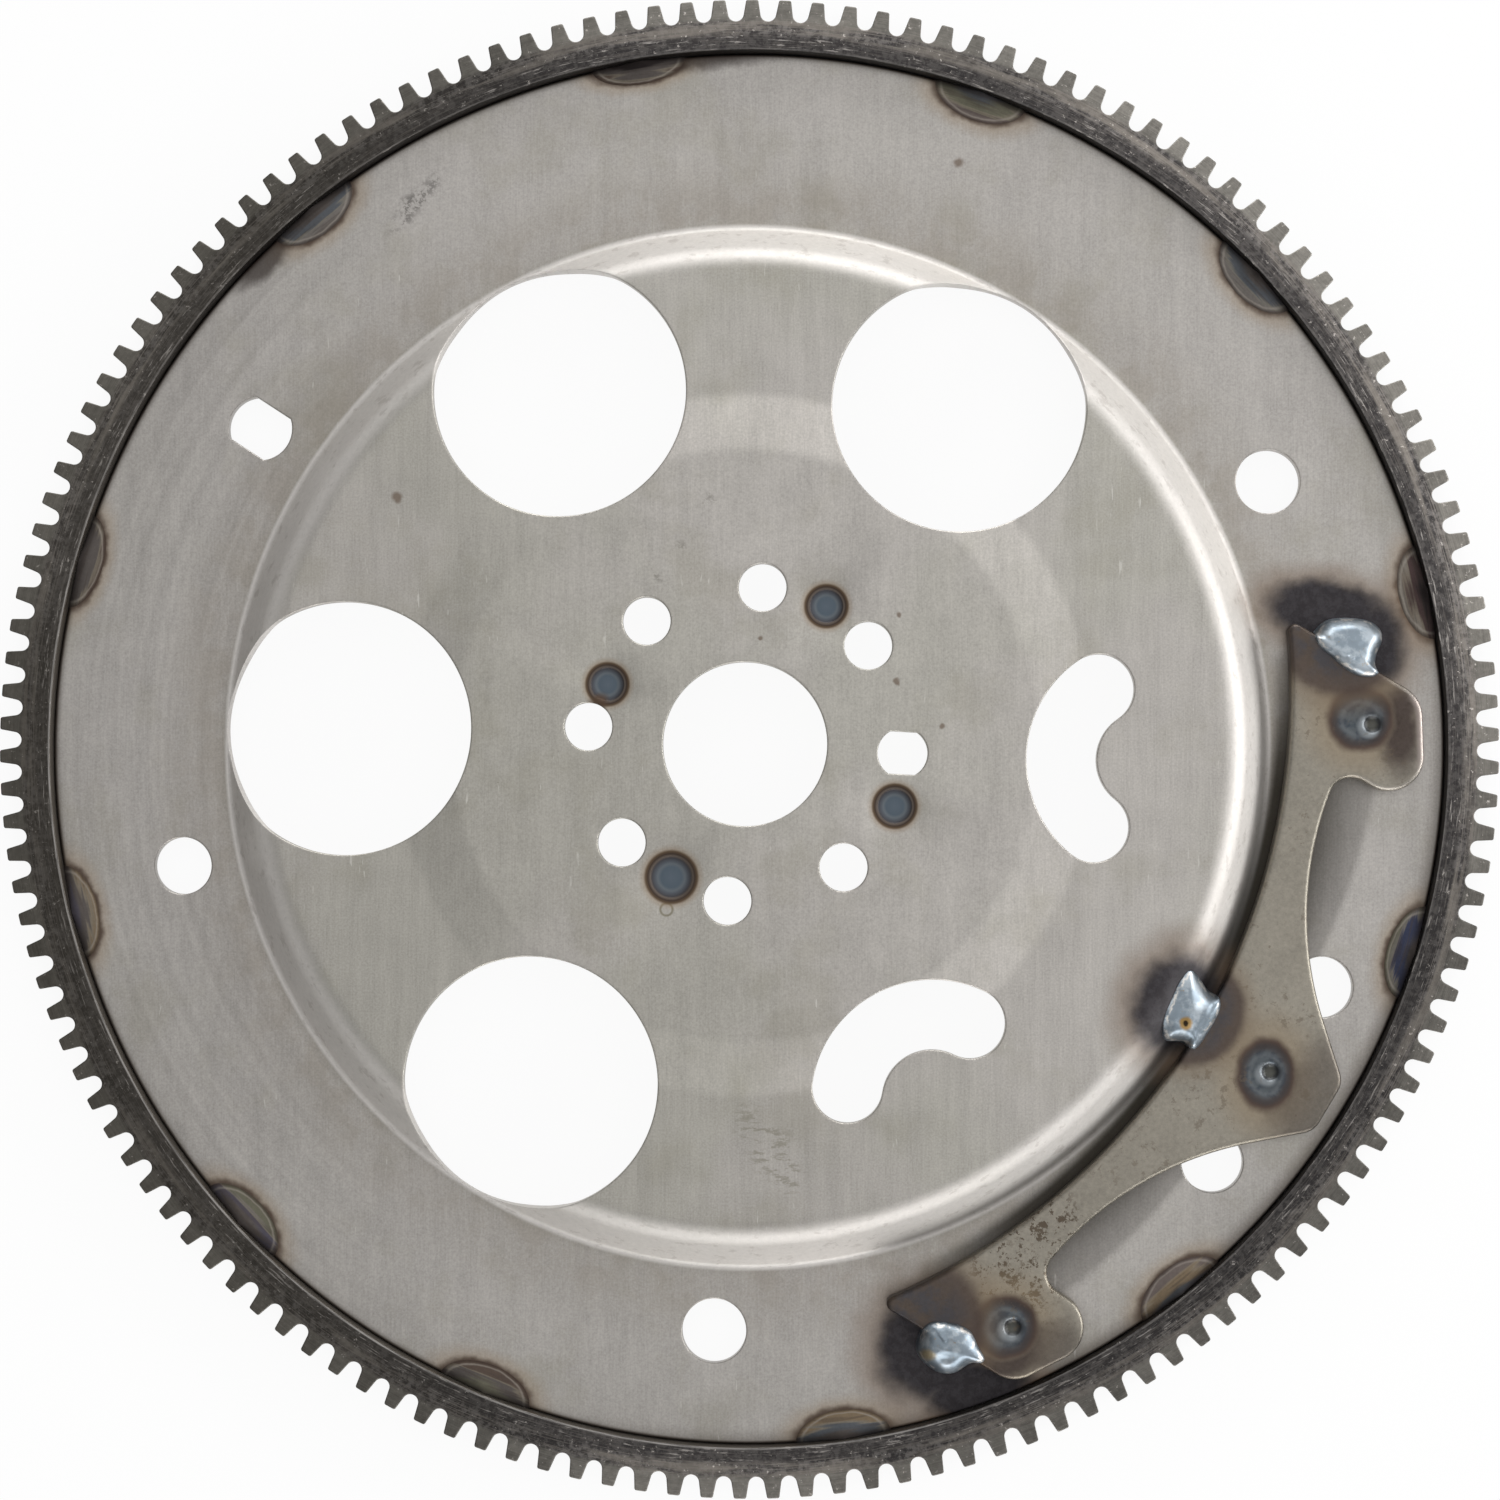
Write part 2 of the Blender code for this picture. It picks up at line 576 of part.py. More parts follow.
def weight_welds(seats, material):
    """Three beads: one over each end of the weight and one in the groove between weight and dome.

    Returns the room that each takes, one gap larger all round.
    """
    end = WEIGHT_HALF_SPAN + END_BEAD_OVERHANG
    end_z = WEIGHT_TOP_Z - END_BEAD_SINK
    end_middle = (crest_height(WEIGHT_HALF_SPAN) + inner_height(WEIGHT_HALF_SPAN)) / 2
    groove = inner_height(0) - MIDDLE_BEAD_INSET
    beads = {
        "weight_weld_upper": (UPPER_BEAD_HALF, Vector((-end, end_middle + UPPER_BEAD_SHIFT, end_z))),
        "weight_weld_middle": (MIDDLE_BEAD_HALF, Vector((0, groove, WEIGHT_TOP_Z))),
        "weight_weld_lower": (LOWER_BEAD_HALF, Vector((end, end_middle + LOWER_BEAD_SHIFT, end_z))),
    }
    rooms = []
    for name, (half_size, centre) in beads.items():
        lump = mesh_object(name, bead(half_size, centre, BEAD_SEGMENTS, BEAD_RINGS), material)
        place_on_weight(lump)
        for seat in seats:
            cut(lump, seat)
        grown_half = [half + SEAT_GAP for half in half_size]
        room = mesh_object(f"{name}_room", bead(grown_half, centre, BEAD_SEGMENTS, BEAD_RINGS))
        rooms.append(place_on_weight(as_cutter(room)))
    return rooms


def rim_welds(seats, material):
    """Twelve short fillets in the corner between the flat rim and the bore of the ring gear."""
    half_size = (RIM_WELD_REACH, RIM_WELD_HALF_LENGTH, RIM_WELD_HEIGHT)
    centre = Vector((DISC_RADIUS, 0, RIM_Z + SEAT_GAP))
    for number, angle in enumerate(RIM_WELD_ANGLES, start=1):
        shape = bead(half_size, centre, RIM_WELD_SEGMENTS, RIM_WELD_RINGS)
        weld = mesh_object(f"rim_weld_{number:02d}", shape, material)
        weld.rotation_euler.z = angle
        for seat in seats:
            cut(weld, seat)


def main():
    clear_scene()
    sheet_steel = finish("pressed_steel", (0.38, 0.36, 0.33), 0.42, 1.0)
    dark_steel = finish("hardened_steel", (0.09, 0.085, 0.08), 0.5, 1.0)
    plate_steel = finish("plate_steel", (0.33, 0.31, 0.28), 0.45, 1.0)
    weld_metal = finish("weld_metal", (0.50, 0.53, 0.56), 0.25, 1.0)
    burnt_metal = finish("burnt_weld_metal", (0.24, 0.21, 0.20), 0.4, 1.0)
    flexplate_disc(sheet_steel)
    hub_plate(plate_steel)
    ring_gear(dark_steel)
    counterweight(plate_steel)
    seats = [weld_seat(), weight_seat()]
    rooms = weight_welds(seats, weld_metal)
    rim_welds(seats + rooms, burnt_metal)


main()
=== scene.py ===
import math

import bpy
from mathutils import Matrix, Vector, geometry, kdtree, noise


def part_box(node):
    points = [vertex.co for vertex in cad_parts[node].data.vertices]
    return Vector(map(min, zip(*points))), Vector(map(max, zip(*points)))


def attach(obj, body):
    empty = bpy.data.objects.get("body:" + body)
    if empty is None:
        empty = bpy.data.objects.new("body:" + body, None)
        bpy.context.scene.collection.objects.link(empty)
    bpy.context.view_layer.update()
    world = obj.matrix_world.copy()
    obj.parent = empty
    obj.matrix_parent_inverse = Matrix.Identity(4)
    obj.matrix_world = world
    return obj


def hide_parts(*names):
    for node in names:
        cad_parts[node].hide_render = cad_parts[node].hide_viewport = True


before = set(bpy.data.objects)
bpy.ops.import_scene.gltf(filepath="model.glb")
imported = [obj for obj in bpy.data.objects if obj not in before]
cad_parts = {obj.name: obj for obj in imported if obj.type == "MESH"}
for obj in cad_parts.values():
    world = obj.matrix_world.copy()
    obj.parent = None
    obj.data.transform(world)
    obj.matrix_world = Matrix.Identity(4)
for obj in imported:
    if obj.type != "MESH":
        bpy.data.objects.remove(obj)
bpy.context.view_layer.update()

# All shapes are worked out in millimetres and shrunk to metres when a mesh is made
mm = 0.001
deg = math.pi / 180
filletReach = 0.98  # share of a side that the fillets at its two ends may take together
edgeSteps = (0.134, 0.5, 1.0, 1.7)  # where a rolled edge gets lines of its own, in widths of the edge
sharpAngle = 42 * deg


def boxOf(node):
    low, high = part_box(node)
    return low / mm, high / mm


# Shapes in the plane

def polar(radius, angle):
    return Vector((radius * math.cos(angle), radius * math.sin(angle)))


def arcLine(centre, radius, start, end, spacing=1.0):
    steps = max(2, round(abs(end - start) * radius / spacing))
    return [Vector(centre) + polar(radius, start + (end - start) * i / steps) for i in range(steps + 1)]


def roundHole(centre, radius, spacing=1.0):
    steps = max(28, round(2 * math.pi * radius / spacing))
    return [Vector(centre) + polar(radius, 2 * math.pi * i / steps) for i in range(steps)]


def flattedHole(centre, radius, acrossFlats, turn):
    half = math.asin(min(acrossFlats / 2 / radius, 1))
    line = arcLine(centre, radius, turn - half, turn + half, 0.5)
    return line + arcLine(centre, radius, turn + math.pi - half, turn + math.pi + half, 0.5)


def kidneyHole(centre, inward, outer, inner, halfSpan):
    middle, end = (outer + inner) / 2, (outer - inner) / 2
    a, b = inward - halfSpan, inward + halfSpan
    line = arcLine(centre, outer, a, b)
    line += arcLine(centre + polar(middle, b), end, b, b + math.pi, 0.8)[1:-1]
    line += arcLine(centre, inner, b, a)
    line += arcLine(centre + polar(middle, a), end, a + math.pi, a + 2 * math.pi, 0.8)[1:-1]
    return line


def trimAt(before, corner, after, radius):
    return radius / math.tan((before - corner).angle(after - corner) / 2)


def roundCorner(before, corner, after, radius, spacing):
    toBefore, toAfter = before - corner, after - corner
    half = toBefore.angle(toAfter) / 2
    centre = corner + (toBefore.normalized() + toAfter.normalized()).normalized() * radius / math.sin(half)
    start = corner + toBefore.normalized() * radius / math.tan(half) - centre
    sweep = math.pi - 2 * half
    if toBefore.y * toAfter.x - toBefore.x * toAfter.y < 0:
        sweep = -sweep
    first = math.atan2(start.y, start.x)
    return arcLine(centre, radius, first, first + sweep, spacing)


def softPath(corners, closed=False, spacing=0.6):  # corners are (place, radius)
    count = len(corners)
    places = [c[0] for c in corners]
    trims = []
    for i, (place, radius) in enumerate(corners):
        sharp = radius <= 0 or (not closed and i in (0, count - 1))
        trims.append(0 if sharp else trimAt(places[i - 1], place, places[(i + 1) % count], radius))
    line = []
    for i, (place, radius) in enumerate(corners):
        if trims[i] == 0:
            line.append(place.copy())
            continue
        share = 1
        for other in (i - 1, (i + 1) % count):
            share = min(share, filletReach * (places[other] - place).length / (trims[i] + trims[other]))
        line += roundCorner(places[i - 1], place, places[(i + 1) % count], share * radius, spacing)
    return line


def shiftedCorners(corners, distance):  # an open path moved to its right, fillets kept concentric
    moved = []
    for i, (place, radius) in enumerate(corners):
        before, after = corners[max(i - 1, 0)][0], corners[min(i + 1, len(corners) - 1)][0]
        into = place - before if i > 0 else after - place
        out = after - place if i < len(corners) - 1 else into
        a, b = Vector((into.y, -into.x)).normalized(), Vector((out.y, -out.x)).normalized()
        turnsRight = into.x * out.y - into.y * out.x < 0
        kept = radius - distance if turnsRight else radius + distance
        moved.append((place + (a + b) * distance / (1 + a.dot(b)), max(kept, 0.3) if radius > 0 else 0))
    return moved


def smoothLoop(points, spacing=0.4):  # a closed Catmull-Rom curve through a few points
    line = []
    count = len(points)
    for i in range(count):
        p0, p1, p2, p3 = (Vector(points[(i + k) % count]) for k in (-1, 0, 1, 2))
        steps = max(2, round((p2 - p1).length / spacing))
        for s in range(steps):
            t = s / steps
            line.append(0.5 * (2 * p1 + (p2 - p0) * t + (2 * p0 - 5 * p1 + 4 * p2 - p3) * t * t
                               + (3 * p1 - p0 - 3 * p2 + p3) * t ** 3))
    return line


def turningLeft(loop):
    area = sum(loop[i - 1].x * loop[i].y - loop[i].x * loop[i - 1].y for i in range(len(loop)))
    return loop if area > 0 else loop[::-1]


def movedLeft(line, distance, closed=True):  # towards the metal, which lies to the left of every edge line
    moved = []
    for i, point in enumerate(line):
        before = line[i - 1] if closed or i > 0 else None
        after = line[(i + 1) % len(line)] if closed or i < len(line) - 1 else None
        into = (point - before).normalized() if before is not None else (after - point).normalized()
        out = (after - point).normalized() if after is not None else into
        a, b = Vector((-into.y, into.x)), Vector((-out.y, out.x))
        moved.append(point + (a + b) * distance / (1 + a.dot(b)))
    return moved


def isInside(x, y, loop):
    inside = False
    for i in range(len(loop)):
        a, b = loop[i - 1], loop[i]
        if (a.y > y) != (b.y > y) and x < (b.x - a.x) * (y - a.y) / (b.y - a.y) + a.x:
            inside = not inside
    return inside


def edgeMeter(lines):  # gives a function that measures how far a point lies from the nearest edge line
    tree = kdtree.KDTree(sum(len(line) for line, _ in lines))
    beside = []
    for line, closed in lines:
        for i, point in enumerate(line):
            tree.insert((point.x, point.y, 0), len(beside))
            sides = []
            if closed or i > 0:
                sides.append((line[i - 1], point))
            if closed or i < len(line) - 1:
                sides.append((point, line[(i + 1) % len(line)]))
            beside.append(sides)
    tree.balance()

    def measure(point):
        best = 1e9
        for _, index, _ in tree.find_n((point.x, point.y, 0), 3):
            for a, b in beside[index]:
                along = b - a
                t = max(0, min(1, (point - a).dot(along) / max(along.length_squared, 1e-12)))
                best = min(best, (point - a - along * t).length)
        return best
    return measure


# Meshes

def roundedDrop(distance, lip):  # how far a rolled edge has fallen, that far from the cut
    if distance >= lip:
        return 0
    return lip - math.sqrt(max(lip * lip - (lip - distance) ** 2, 0))


# outline and holes are closed loops, guides are (line, closed) for the mesh to follow, and top and bottom
# give a height for a point and its distance from the nearest edge
def sheetMesh(name, outline, holes, guides, top, bottom, lip, openSides=False, extraPoints=()):
    rims = [(turningLeft(outline), True)] + [(turningLeft(h)[::-1], True) for h in holes]
    if openSides:
        rims = openSides  # only these lines are edges of the metal, the rest of the outline joins its neighbours
    lines = [(turningLeft(outline), True)] + [r for r in rims if r[0] is not outline] + list(guides)
    for line, closed in rims:
        for share in edgeSteps:
            lines.append((movedLeft(line, lip * share, closed), closed))
    points, edges = [], []
    for line, closed in lines:
        first = len(points)
        points += line
        edges += [(first + i, first + i + 1) for i in range(len(line) - 1)]
        if closed:
            edges.append((len(points) - 1, first))
    points += list(extraPoints)
    flat, _, faces, *_ = geometry.delaunay_2d_cdt(points, edges, [], 0, 1e-4, False)
    loops = []
    for loop in holes:
        xs, ys = [p.x for p in loop], [p.y for p in loop]
        loops.append((min(xs), max(xs), min(ys), max(ys), loop))
    kept = []
    for face in faces:
        middle = sum((flat[i] for i in face), Vector((0, 0))) / len(face)
        x, y = middle
        if any(a < x < b and c < y < d and isInside(x, y, loop) for a, b, c, d, loop in loops):
            continue
        if isInside(x, y, outline):
            a, b, c = (flat[i] for i in face[:3])
            turned = (b - a).cross(c - a) < 0
            kept.append(tuple(reversed(face)) if turned else tuple(face))
    used = sorted({i for face in kept for i in face})
    number = {old: new for new, old in enumerate(used)}
    measure = edgeMeter(rims)
    far = {i: measure(flat[i]) for i in used}
    verts = [(flat[i].x * mm, flat[i].y * mm, top(flat[i], far[i]) * mm) for i in used]
    verts += [(flat[i].x * mm, flat[i].y * mm, bottom(flat[i], far[i]) * mm) for i in used]
    shift = len(used)
    polygons = [tuple(number[i] for i in face) for face in kept]
    polygons += [tuple(number[i] + shift for i in reversed(face)) for face in kept]
    sides = {(face[k - 1], face[k]) for face in kept for k in range(len(face))}
    for a, b in sides:
        isCut = not openSides or (far[a] < 1e-3 and far[b] < 1e-3)
        if (b, a) not in sides and isCut:
            polygons.append((number[a], number[a] + shift, number[b] + shift, number[b]))
    mesh = bpy.data.meshes.new(name)
    mesh.from_pydata(verts, [], polygons)
    fromEdge = mesh.attributes.new("fromEdge", "FLOAT", "POINT")
    fromEdge.data.foreach_set("value", [far[i] for i in used] * 2)
    mesh.shade_smooth()
    mesh.set_sharp_from_angle(angle=sharpAngle)
    made = bpy.data.objects.new(name, mesh)
    bpy.context.scene.collection.objects.link(made)
    return made


def settled(piece):  # the modifiers' result becomes the piece's own mesh
    graph = bpy.context.evaluated_depsgraph_get()
    mesh = bpy.data.meshes.new_from_object(piece.evaluated_get(graph))
    piece.modifiers.clear()
    piece.data = mesh
    return piece


def fit(piece, finish, slot, *nodes):  # paint a finished piece and let it stand for its CAD nodes
    piece.data.materials.clear()
    piece.data.materials.append(finish)
    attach(piece, "root")
    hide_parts(*nodes)
    print(f"made {piece.name}: {len(piece.data.polygons)} faces")
    return piece


# Shader maths: a Wire is one value or colour on its way through a material

def addNode(tree, kind, settings, values):  # settings are set first, values are numbers or links for its sockets
    made = tree.nodes.new(kind)
    for key, value in settings.items():
        if key == "stops":
            while len(made.color_ramp.elements) < len(value):
                made.color_ramp.elements.new(0.5)
            for element, (position, colour) in zip(made.color_ramp.elements, value):
                element.position, element.color = position, (*srgb(*colour), 1)
        else:
            setattr(made, key, value)
    for key, value in values.items():
        if isinstance(value, Wire):
            value = value.socket
        if isinstance(value, bpy.types.NodeSocket):
            tree.links.new(value, made.inputs[key])
        else:
            made.inputs[key].default_value = value
    return made


class Wire:
    def __init__(self, finish, socket):
        self.finish, self.socket = finish, socket

    def maths(self, operation, *others):
        return self.finish.node("Math", {"operation": operation}, dict(enumerate((self, *others))))

    def __add__(self, other): return self.maths("ADD", other)
    def __radd__(self, other): return self.maths("ADD", other)
    def __sub__(self, other): return self.maths("SUBTRACT", other)
    def __rsub__(self, other): return self.finish.node("Math", {"operation": "SUBTRACT"}, {0: other, 1: self})
    def __mul__(self, other): return self.maths("MULTIPLY", other)
    def __rmul__(self, other): return self.maths("MULTIPLY", other)
    def least(self, other): return self.maths("MINIMUM", other)
    def most(self, other): return self.maths("MAXIMUM", other)
    def size(self): return self.maths("ABSOLUTE")

    def fade(self, start, end):  # 1 up to start, then smoothly down to 0 at end; start above end turns it round
        low, high, a, b = (start, end, 1, 0) if start < end else (end, start, 0, 1)
        settings = {"interpolation_type": "SMOOTHSTEP"}
        return self.finish.node("MapRange", settings, {0: self, 1: low, 2: high, 3: a, 4: b})

    def band(self, centre, halfWidth):  # 1 at the centre, 0 that far to either side
        return (self - centre).size().fade(0, halfWidth)


class Finish:
    def __init__(self, name):
        self.material = bpy.data.materials.new(name)
        self.material.use_nodes = True
        self.tree = self.material.node_tree
        self.shader = self.tree.nodes["Principled BSDF"]
        self.place = self.scaled(self.node("TexCoord", {}, {}, "Object"), 1 / mm)
        self.colour = None

    def node(self, kind, settings, values, output=0):
        return Wire(self, addNode(self.tree, "ShaderNode" + kind, settings, values).outputs[output])

    def scaled(self, vector, factor):
        return self.node("VectorMath", {"operation": "SCALE"}, {0: vector, "Scale": factor})

    def stretched(self, vector, factors):
        return self.node("VectorMath", {"operation": "MULTIPLY"}, {0: vector, 1: factors})

    def stored(self, name, output="Fac"):  # an attribute of the mesh
        return self.node("Attribute", {"attribute_name": name}, {}, output)

    def grain(self, scale=1.0, detail=3.0, rough=0.5, stretch=None, at=None):  # noise, 0 to 1
        vector = at or self.place
        if stretch:
            vector = self.stretched(vector, stretch)
        values = {"Vector": vector, "Scale": scale, "Detail": detail, "Roughness": rough}
        return self.node("TexNoise", {}, values, "Fac")

    def hoops(self, across, detail, rough, outward, along):  # noise in streaks that run round the axis
        heading = self.node("VectorMath", {"operation": "NORMALIZE"}, {0: self.stretched(self.place, (1, 1, 0))})
        parts = {0: across * outward, 1: self.axisPart(0, heading) * along, 2: self.axisPart(1, heading) * along}
        return self.grain(1, detail, rough, at=self.node("CombineXYZ", {}, parts))

    def wobbled(self, scale, amount, detail=3.0):  # the place, pushed about by noise
        colours = self.node("TexNoise", {}, {"Vector": self.place, "Scale": scale, "Detail": detail}, "Color")
        centred = self.node("VectorMath", {"operation": "SUBTRACT"}, {0: colours, 1: (0.5, 0.5, 0.5)})
        return self.node("VectorMath", {"operation": "ADD"}, {0: self.place, 1: self.scaled(centred, amount)})

    def blob(self, x, y, halfX, halfY=None, turn=0.0, at=None):  # 0 in its middle, 1 on its edge, in the plane
        values = {"Vector": at or self.place, "Location": (x, y, 0), "Rotation": (0, 0, turn),
                  "Scale": (halfX, halfY or halfX, 1e5)}
        local = self.node("Mapping", {"vector_type": "TEXTURE"}, values)
        return self.node("VectorMath", {"operation": "LENGTH"}, {0: local}, "Value")

    def nearest(self, blobs, at=None):  # 1 on the edge of the nearest of several blobs
        field = None
        for blob in blobs:
            one = self.blob(*blob, at=at)
            field = field.least(one) if field else one
        return field

    def fromAxis(self):  # distance from the crankshaft axis
        flat = self.stretched(self.place, (1, 1, 0))
        return self.node("VectorMath", {"operation": "LENGTH"}, {0: flat}, "Value")

    def axisPart(self, index, at=None):
        return self.node("SeparateXYZ", {}, {0: at or self.place}, index)

    def mix(self, share, first, second):  # colours
        both = [c if isinstance(c, Wire) else (*srgb(*c), 1) for c in (first, second)]
        return self.node("Mix", {"data_type": "RGBA"}, {0: share, 6: both[0], 7: both[1]}, 2)

    def lit(self, colour, factor):  # a colour made lighter or darker by a value
        if not isinstance(colour, Wire):
            colour = self.node("CombineXYZ", {}, dict(enumerate(srgb(*colour))))
        return self.scaled(colour, factor)

    def coat(self, share, colour):  # that much of a colour over what is there
        self.colour = self.mix(share, self.colour, colour)

    def shade(self, factor):
        self.colour = self.lit(self.colour, factor)

    def ramp(self, value, stops):
        return self.node("ValToRGB", {"stops": stops}, {0: value}, "Color")

    def wear(self, roughness, height, strength, reach, metal=1.0):
        values = {"Height": height, "Strength": strength, "Distance": reach * mm}
        normal = self.node("Bump", {}, values, "Normal")
        parts = {"Base Color": self.colour, "Roughness": roughness, "Metallic": metal, "Normal": normal}
        for name, part in parts.items():
            if isinstance(part, Wire):
                self.tree.links.new(part.socket, self.shader.inputs[name])
            else:
                self.shader.inputs[name].default_value = part
        return self.material


def srgb(red, green, blue):  # a colour as a picture shows it, made linear
    return tuple(((c / 255 + 0.055) / 1.055) ** 2.4 for c in (red, green, blue))


# Pressed disc

discLow, discHigh = boxOf("flexplate_disc")
disc = dict(
    radius=discHigh.x, thickness=2.8, hubTop=discHigh.z, plateauTop=discHigh.z - 1.5, rimTop=discLow.z + 2.8,
    hubRadius=58.8, plateauRadius=70.1, footRadius=105.7, wallAngle=60 * deg,
    creaseRound=14.0, shoulderRound=6.3, footRound=1.5, lip=0.3, backLip=0.18, turns=300, spacing=0.45,
    extraRings=(57.0, 61.5, 68.0, 73.0, 94.0, 108.5, 111.0),  # more mesh lines where the sheet bends slowly
)
hubHoles = dict(pilot=16.45, circle=31.6, radius=4.8, first=38.6 * deg, spacing=45 * deg, count=7,
                indexAngle=-3.3 * deg, indexLength=10.0, indexWidth=8.5)
windows = dict(circle=80.5, radius=25.5, first=57.7 * deg, spacing=60 * deg, round=4, kidneys=2,
               kidneyOuter=24.15, kidneyInner=10.1, kidneyHalfSpan=54 * deg)
rimHoles = dict(converterCircle=119.0, converterRadius=6.5, converterFirst=26.85 * deg,
                converterSpacing=120 * deg, flats=10.0, drain=(117.7, 192.0 * deg, 5.8),
                side=((126.7, 337.2 * deg, 6.2), (126.7, 318.2 * deg, 6.2)))
spotMarks = dict(depth=0.25, rings=(0.5, 0.92, 1.0, 1.05), brim=1.05, slope=0.13, places=(  # angle, distance, radius
    (59.4, 32.05, 3.3), (156.5, 30.05, 3.3), (241.1, 30.45, 4.2), (337.4, 32.45, 3.4)))


def discCorners():
    shoulder = disc["footRadius"] - (disc["plateauTop"] - disc["rimTop"]) / math.tan(disc["wallAngle"])
    return [
        (Vector((0, disc["hubTop"])), 0),
        (Vector((disc["hubRadius"], disc["hubTop"])), disc["creaseRound"]),
        (Vector((disc["plateauRadius"], disc["plateauTop"])), disc["creaseRound"]),
        (Vector((shoulder, disc["plateauTop"])), disc["shoulderRound"]),
        (Vector((disc["footRadius"], disc["rimTop"])), disc["footRound"]),
        (Vector((disc["radius"] + 5, disc["rimTop"])), 0),
    ]


discFront = softPath(discCorners(), spacing=disc["spacing"])
discBack = softPath(shiftedCorners(discCorners(), disc["thickness"]), spacing=disc["spacing"])


def heightOn(profile, radius):
    for a, b in zip(profile, profile[1:]):
        if radius <= b.x:
            return a.y + (b.y - a.y) * max(radius - a.x, 0) / max(b.x - a.x, 1e-9)
    return profile[-1].y


def hubHoleLines(clearance=0.0):
    h = hubHoles
    lines = [roundHole((0, 0), h["pilot"] + clearance)]
    for i in range(h["count"]):
        lines.append(roundHole(polar(h["circle"], h["first"] + i * h["spacing"]), h["radius"] + clearance, 0.6))
    lines.append(flattedHole(polar(h["circle"], h["indexAngle"]), h["indexLength"] / 2 + clearance,
                             h["indexWidth"] + 2 * clearance, h["indexAngle"]))
    return lines


def windowLines():
    w = windows
    lines = []
    for i in range(w["round"] + w["kidneys"]):
        turn = w["first"] + i * w["spacing"]
        centre = polar(w["circle"], turn)
        if i < w["round"]:
            lines.append(roundHole(centre, w["radius"]))
        else:
            lines.append(kidneyHole(centre, turn + math.pi, w["kidneyOuter"], w["kidneyInner"], w["kidneyHalfSpan"]))
    return lines


def rimHoleLines():
    r = rimHoles
    angles = [r["converterFirst"] + i * r["converterSpacing"] for i in range(3)]
    lines = [roundHole(polar(r["converterCircle"], angles[i]), r["converterRadius"], 0.6) for i in (0, 2)]
    lines.append(flattedHole(polar(r["converterCircle"], angles[1]), r["converterRadius"], r["flats"], angles[1]))
    for circle, angle, radius in (r["drain"], *r["side"]):
        lines.append(roundHole(polar(circle, angle), radius, 0.6))
    return lines


def pressedDisc():
    bends = {round(p.x, 2) for p in discFront + discBack if p.x < disc["radius"] - 2}
    radii = sorted(bends | set(disc["extraRings"]))
    radii = [r for r in radii if r > hubHoles["pilot"] + 2]
    turns = disc["turns"]
    guides = [([polar(r, 2 * math.pi * i / turns) for i in range(turns)], True) for r in radii]
    spots = [(polar(away, angle * deg), radius) for angle, away, radius in spotMarks["places"]]
    for centre, radius in spots:
        guides += [(roundHole(centre, radius * share, 0.5), True) for share in spotMarks["rings"]]

    def front(p, far):
        height = heightOn(discFront, p.length) - roundedDrop(far, disc["lip"])
        for centre, radius in spots:  # the electrodes have sunk into the sheet
            sunk = max(0, min(1, (spotMarks["brim"] - (p - centre).length / radius) / spotMarks["slope"]))
            height -= spotMarks["depth"] * sunk * sunk * (3 - 2 * sunk)
        return height

    outline = [polar(disc["radius"], 2 * math.pi * i / turns) for i in range(turns)]
    return sheetMesh(
        "pressedDisc", outline, hubHoleLines() + windowLines() + rimHoleLines(), guides, front,
        lambda p, far: heightOn(discBack, p.length) + roundedDrop(far, disc["backLip"]), disc["lip"])


plate = dict(holeClearance=0.25, frontLip=0.2, backLip=0.5, spacing=0.9)


def hubPlate():
    low, high = boxOf("hub_plate")
    return sheetMesh(
        "hubPlate", roundHole((0, 0), high.x, plate["spacing"]), hubHoleLines(plate["holeClearance"]), [],
        lambda p, far: high.z - roundedDrop(far, plate["frontLip"]),
        lambda p, far: low.z + roundedDrop(far, plate["backLip"]), plate["backLip"])


# Ring gear: one pitch is modelled, and Geometry Nodes set it round the rim

ringLow, ringHigh = boxOf("ring_gear")
ringGear = dict(
    teeth=142, tip=min(*ringHigh.xy, *-ringLow.xy) - 0.01, bore=141.8, width=ringHigh.z, land=2.8, noseDrop=1.2,
    flank=10 * deg, phase=0.8 * deg, tipRound=0.45, lip=0.22, seed=7, merge=0.01,
    gaugeTip=152.4, depthModules=2.157, rootModules=0.756, turnedEdge=0.4,
)


def onePitch():
    g = ringGear
    module = 2 * g["gaugeTip"] / (g["teeth"] + 2)
    root = g["tip"] - module * g["depthModules"]
    rootRound = g["rootModules"] * module
    half = math.pi / g["teeth"]

    def side(angle):  # half of a gap, from its middle to the tooth's tip corner, turned to that side
        centre = root + rootRound
        arc = arcLine((centre, 0), rootRound, math.pi, math.pi / 2 + g["flank"], 0.3)
        mouth = rootRound / math.cos(g["flank"]) + (g["tip"] - centre) * math.tan(g["flank"])
        line = arc + [Vector((g["tip"], mouth))]
        turn = Matrix.Rotation(angle, 2)
        return [turn @ Vector((p.x, p.y if angle < 0 else -p.y)) for p in line]

    lower = side(-half)
    upper = side(half)
    corner = [(p, 0) for p in lower[:-1]] + [(lower[-1].normalized() * g["tip"], g["tipRound"])]
    corner += [(Vector((g["tip"], 0)), 0), (upper[-1].normalized() * g["tip"], g["tipRound"])]
    corner += [(p, 0) for p in upper[-2::-1]]
    outer = softPath(corner, spacing=0.15)
    bore = [polar(g["bore"], half * (1 - i / 2)) for i in range(5)]
    belts = []
    for past in (0.0, g["turnedEdge"]):
        belts.append(([polar(g["bore"] + g["land"] + past, half * (i / 2 - 1)) for i in range(5)], False))

    def front(p, far):
        past = max(p.length - g["bore"] - g["land"], 0) / (g["tip"] - g["bore"] - g["land"])
        return g["width"] - g["noseDrop"] * past - roundedDrop(far, g["lip"])

    return sheetMesh(
        "ringGearTeeth", outer + bore, [], belts, front,
        lambda p, far: roundedDrop(far, g["lip"]), g["lip"], openSides=[(outer, False), (bore, False)])


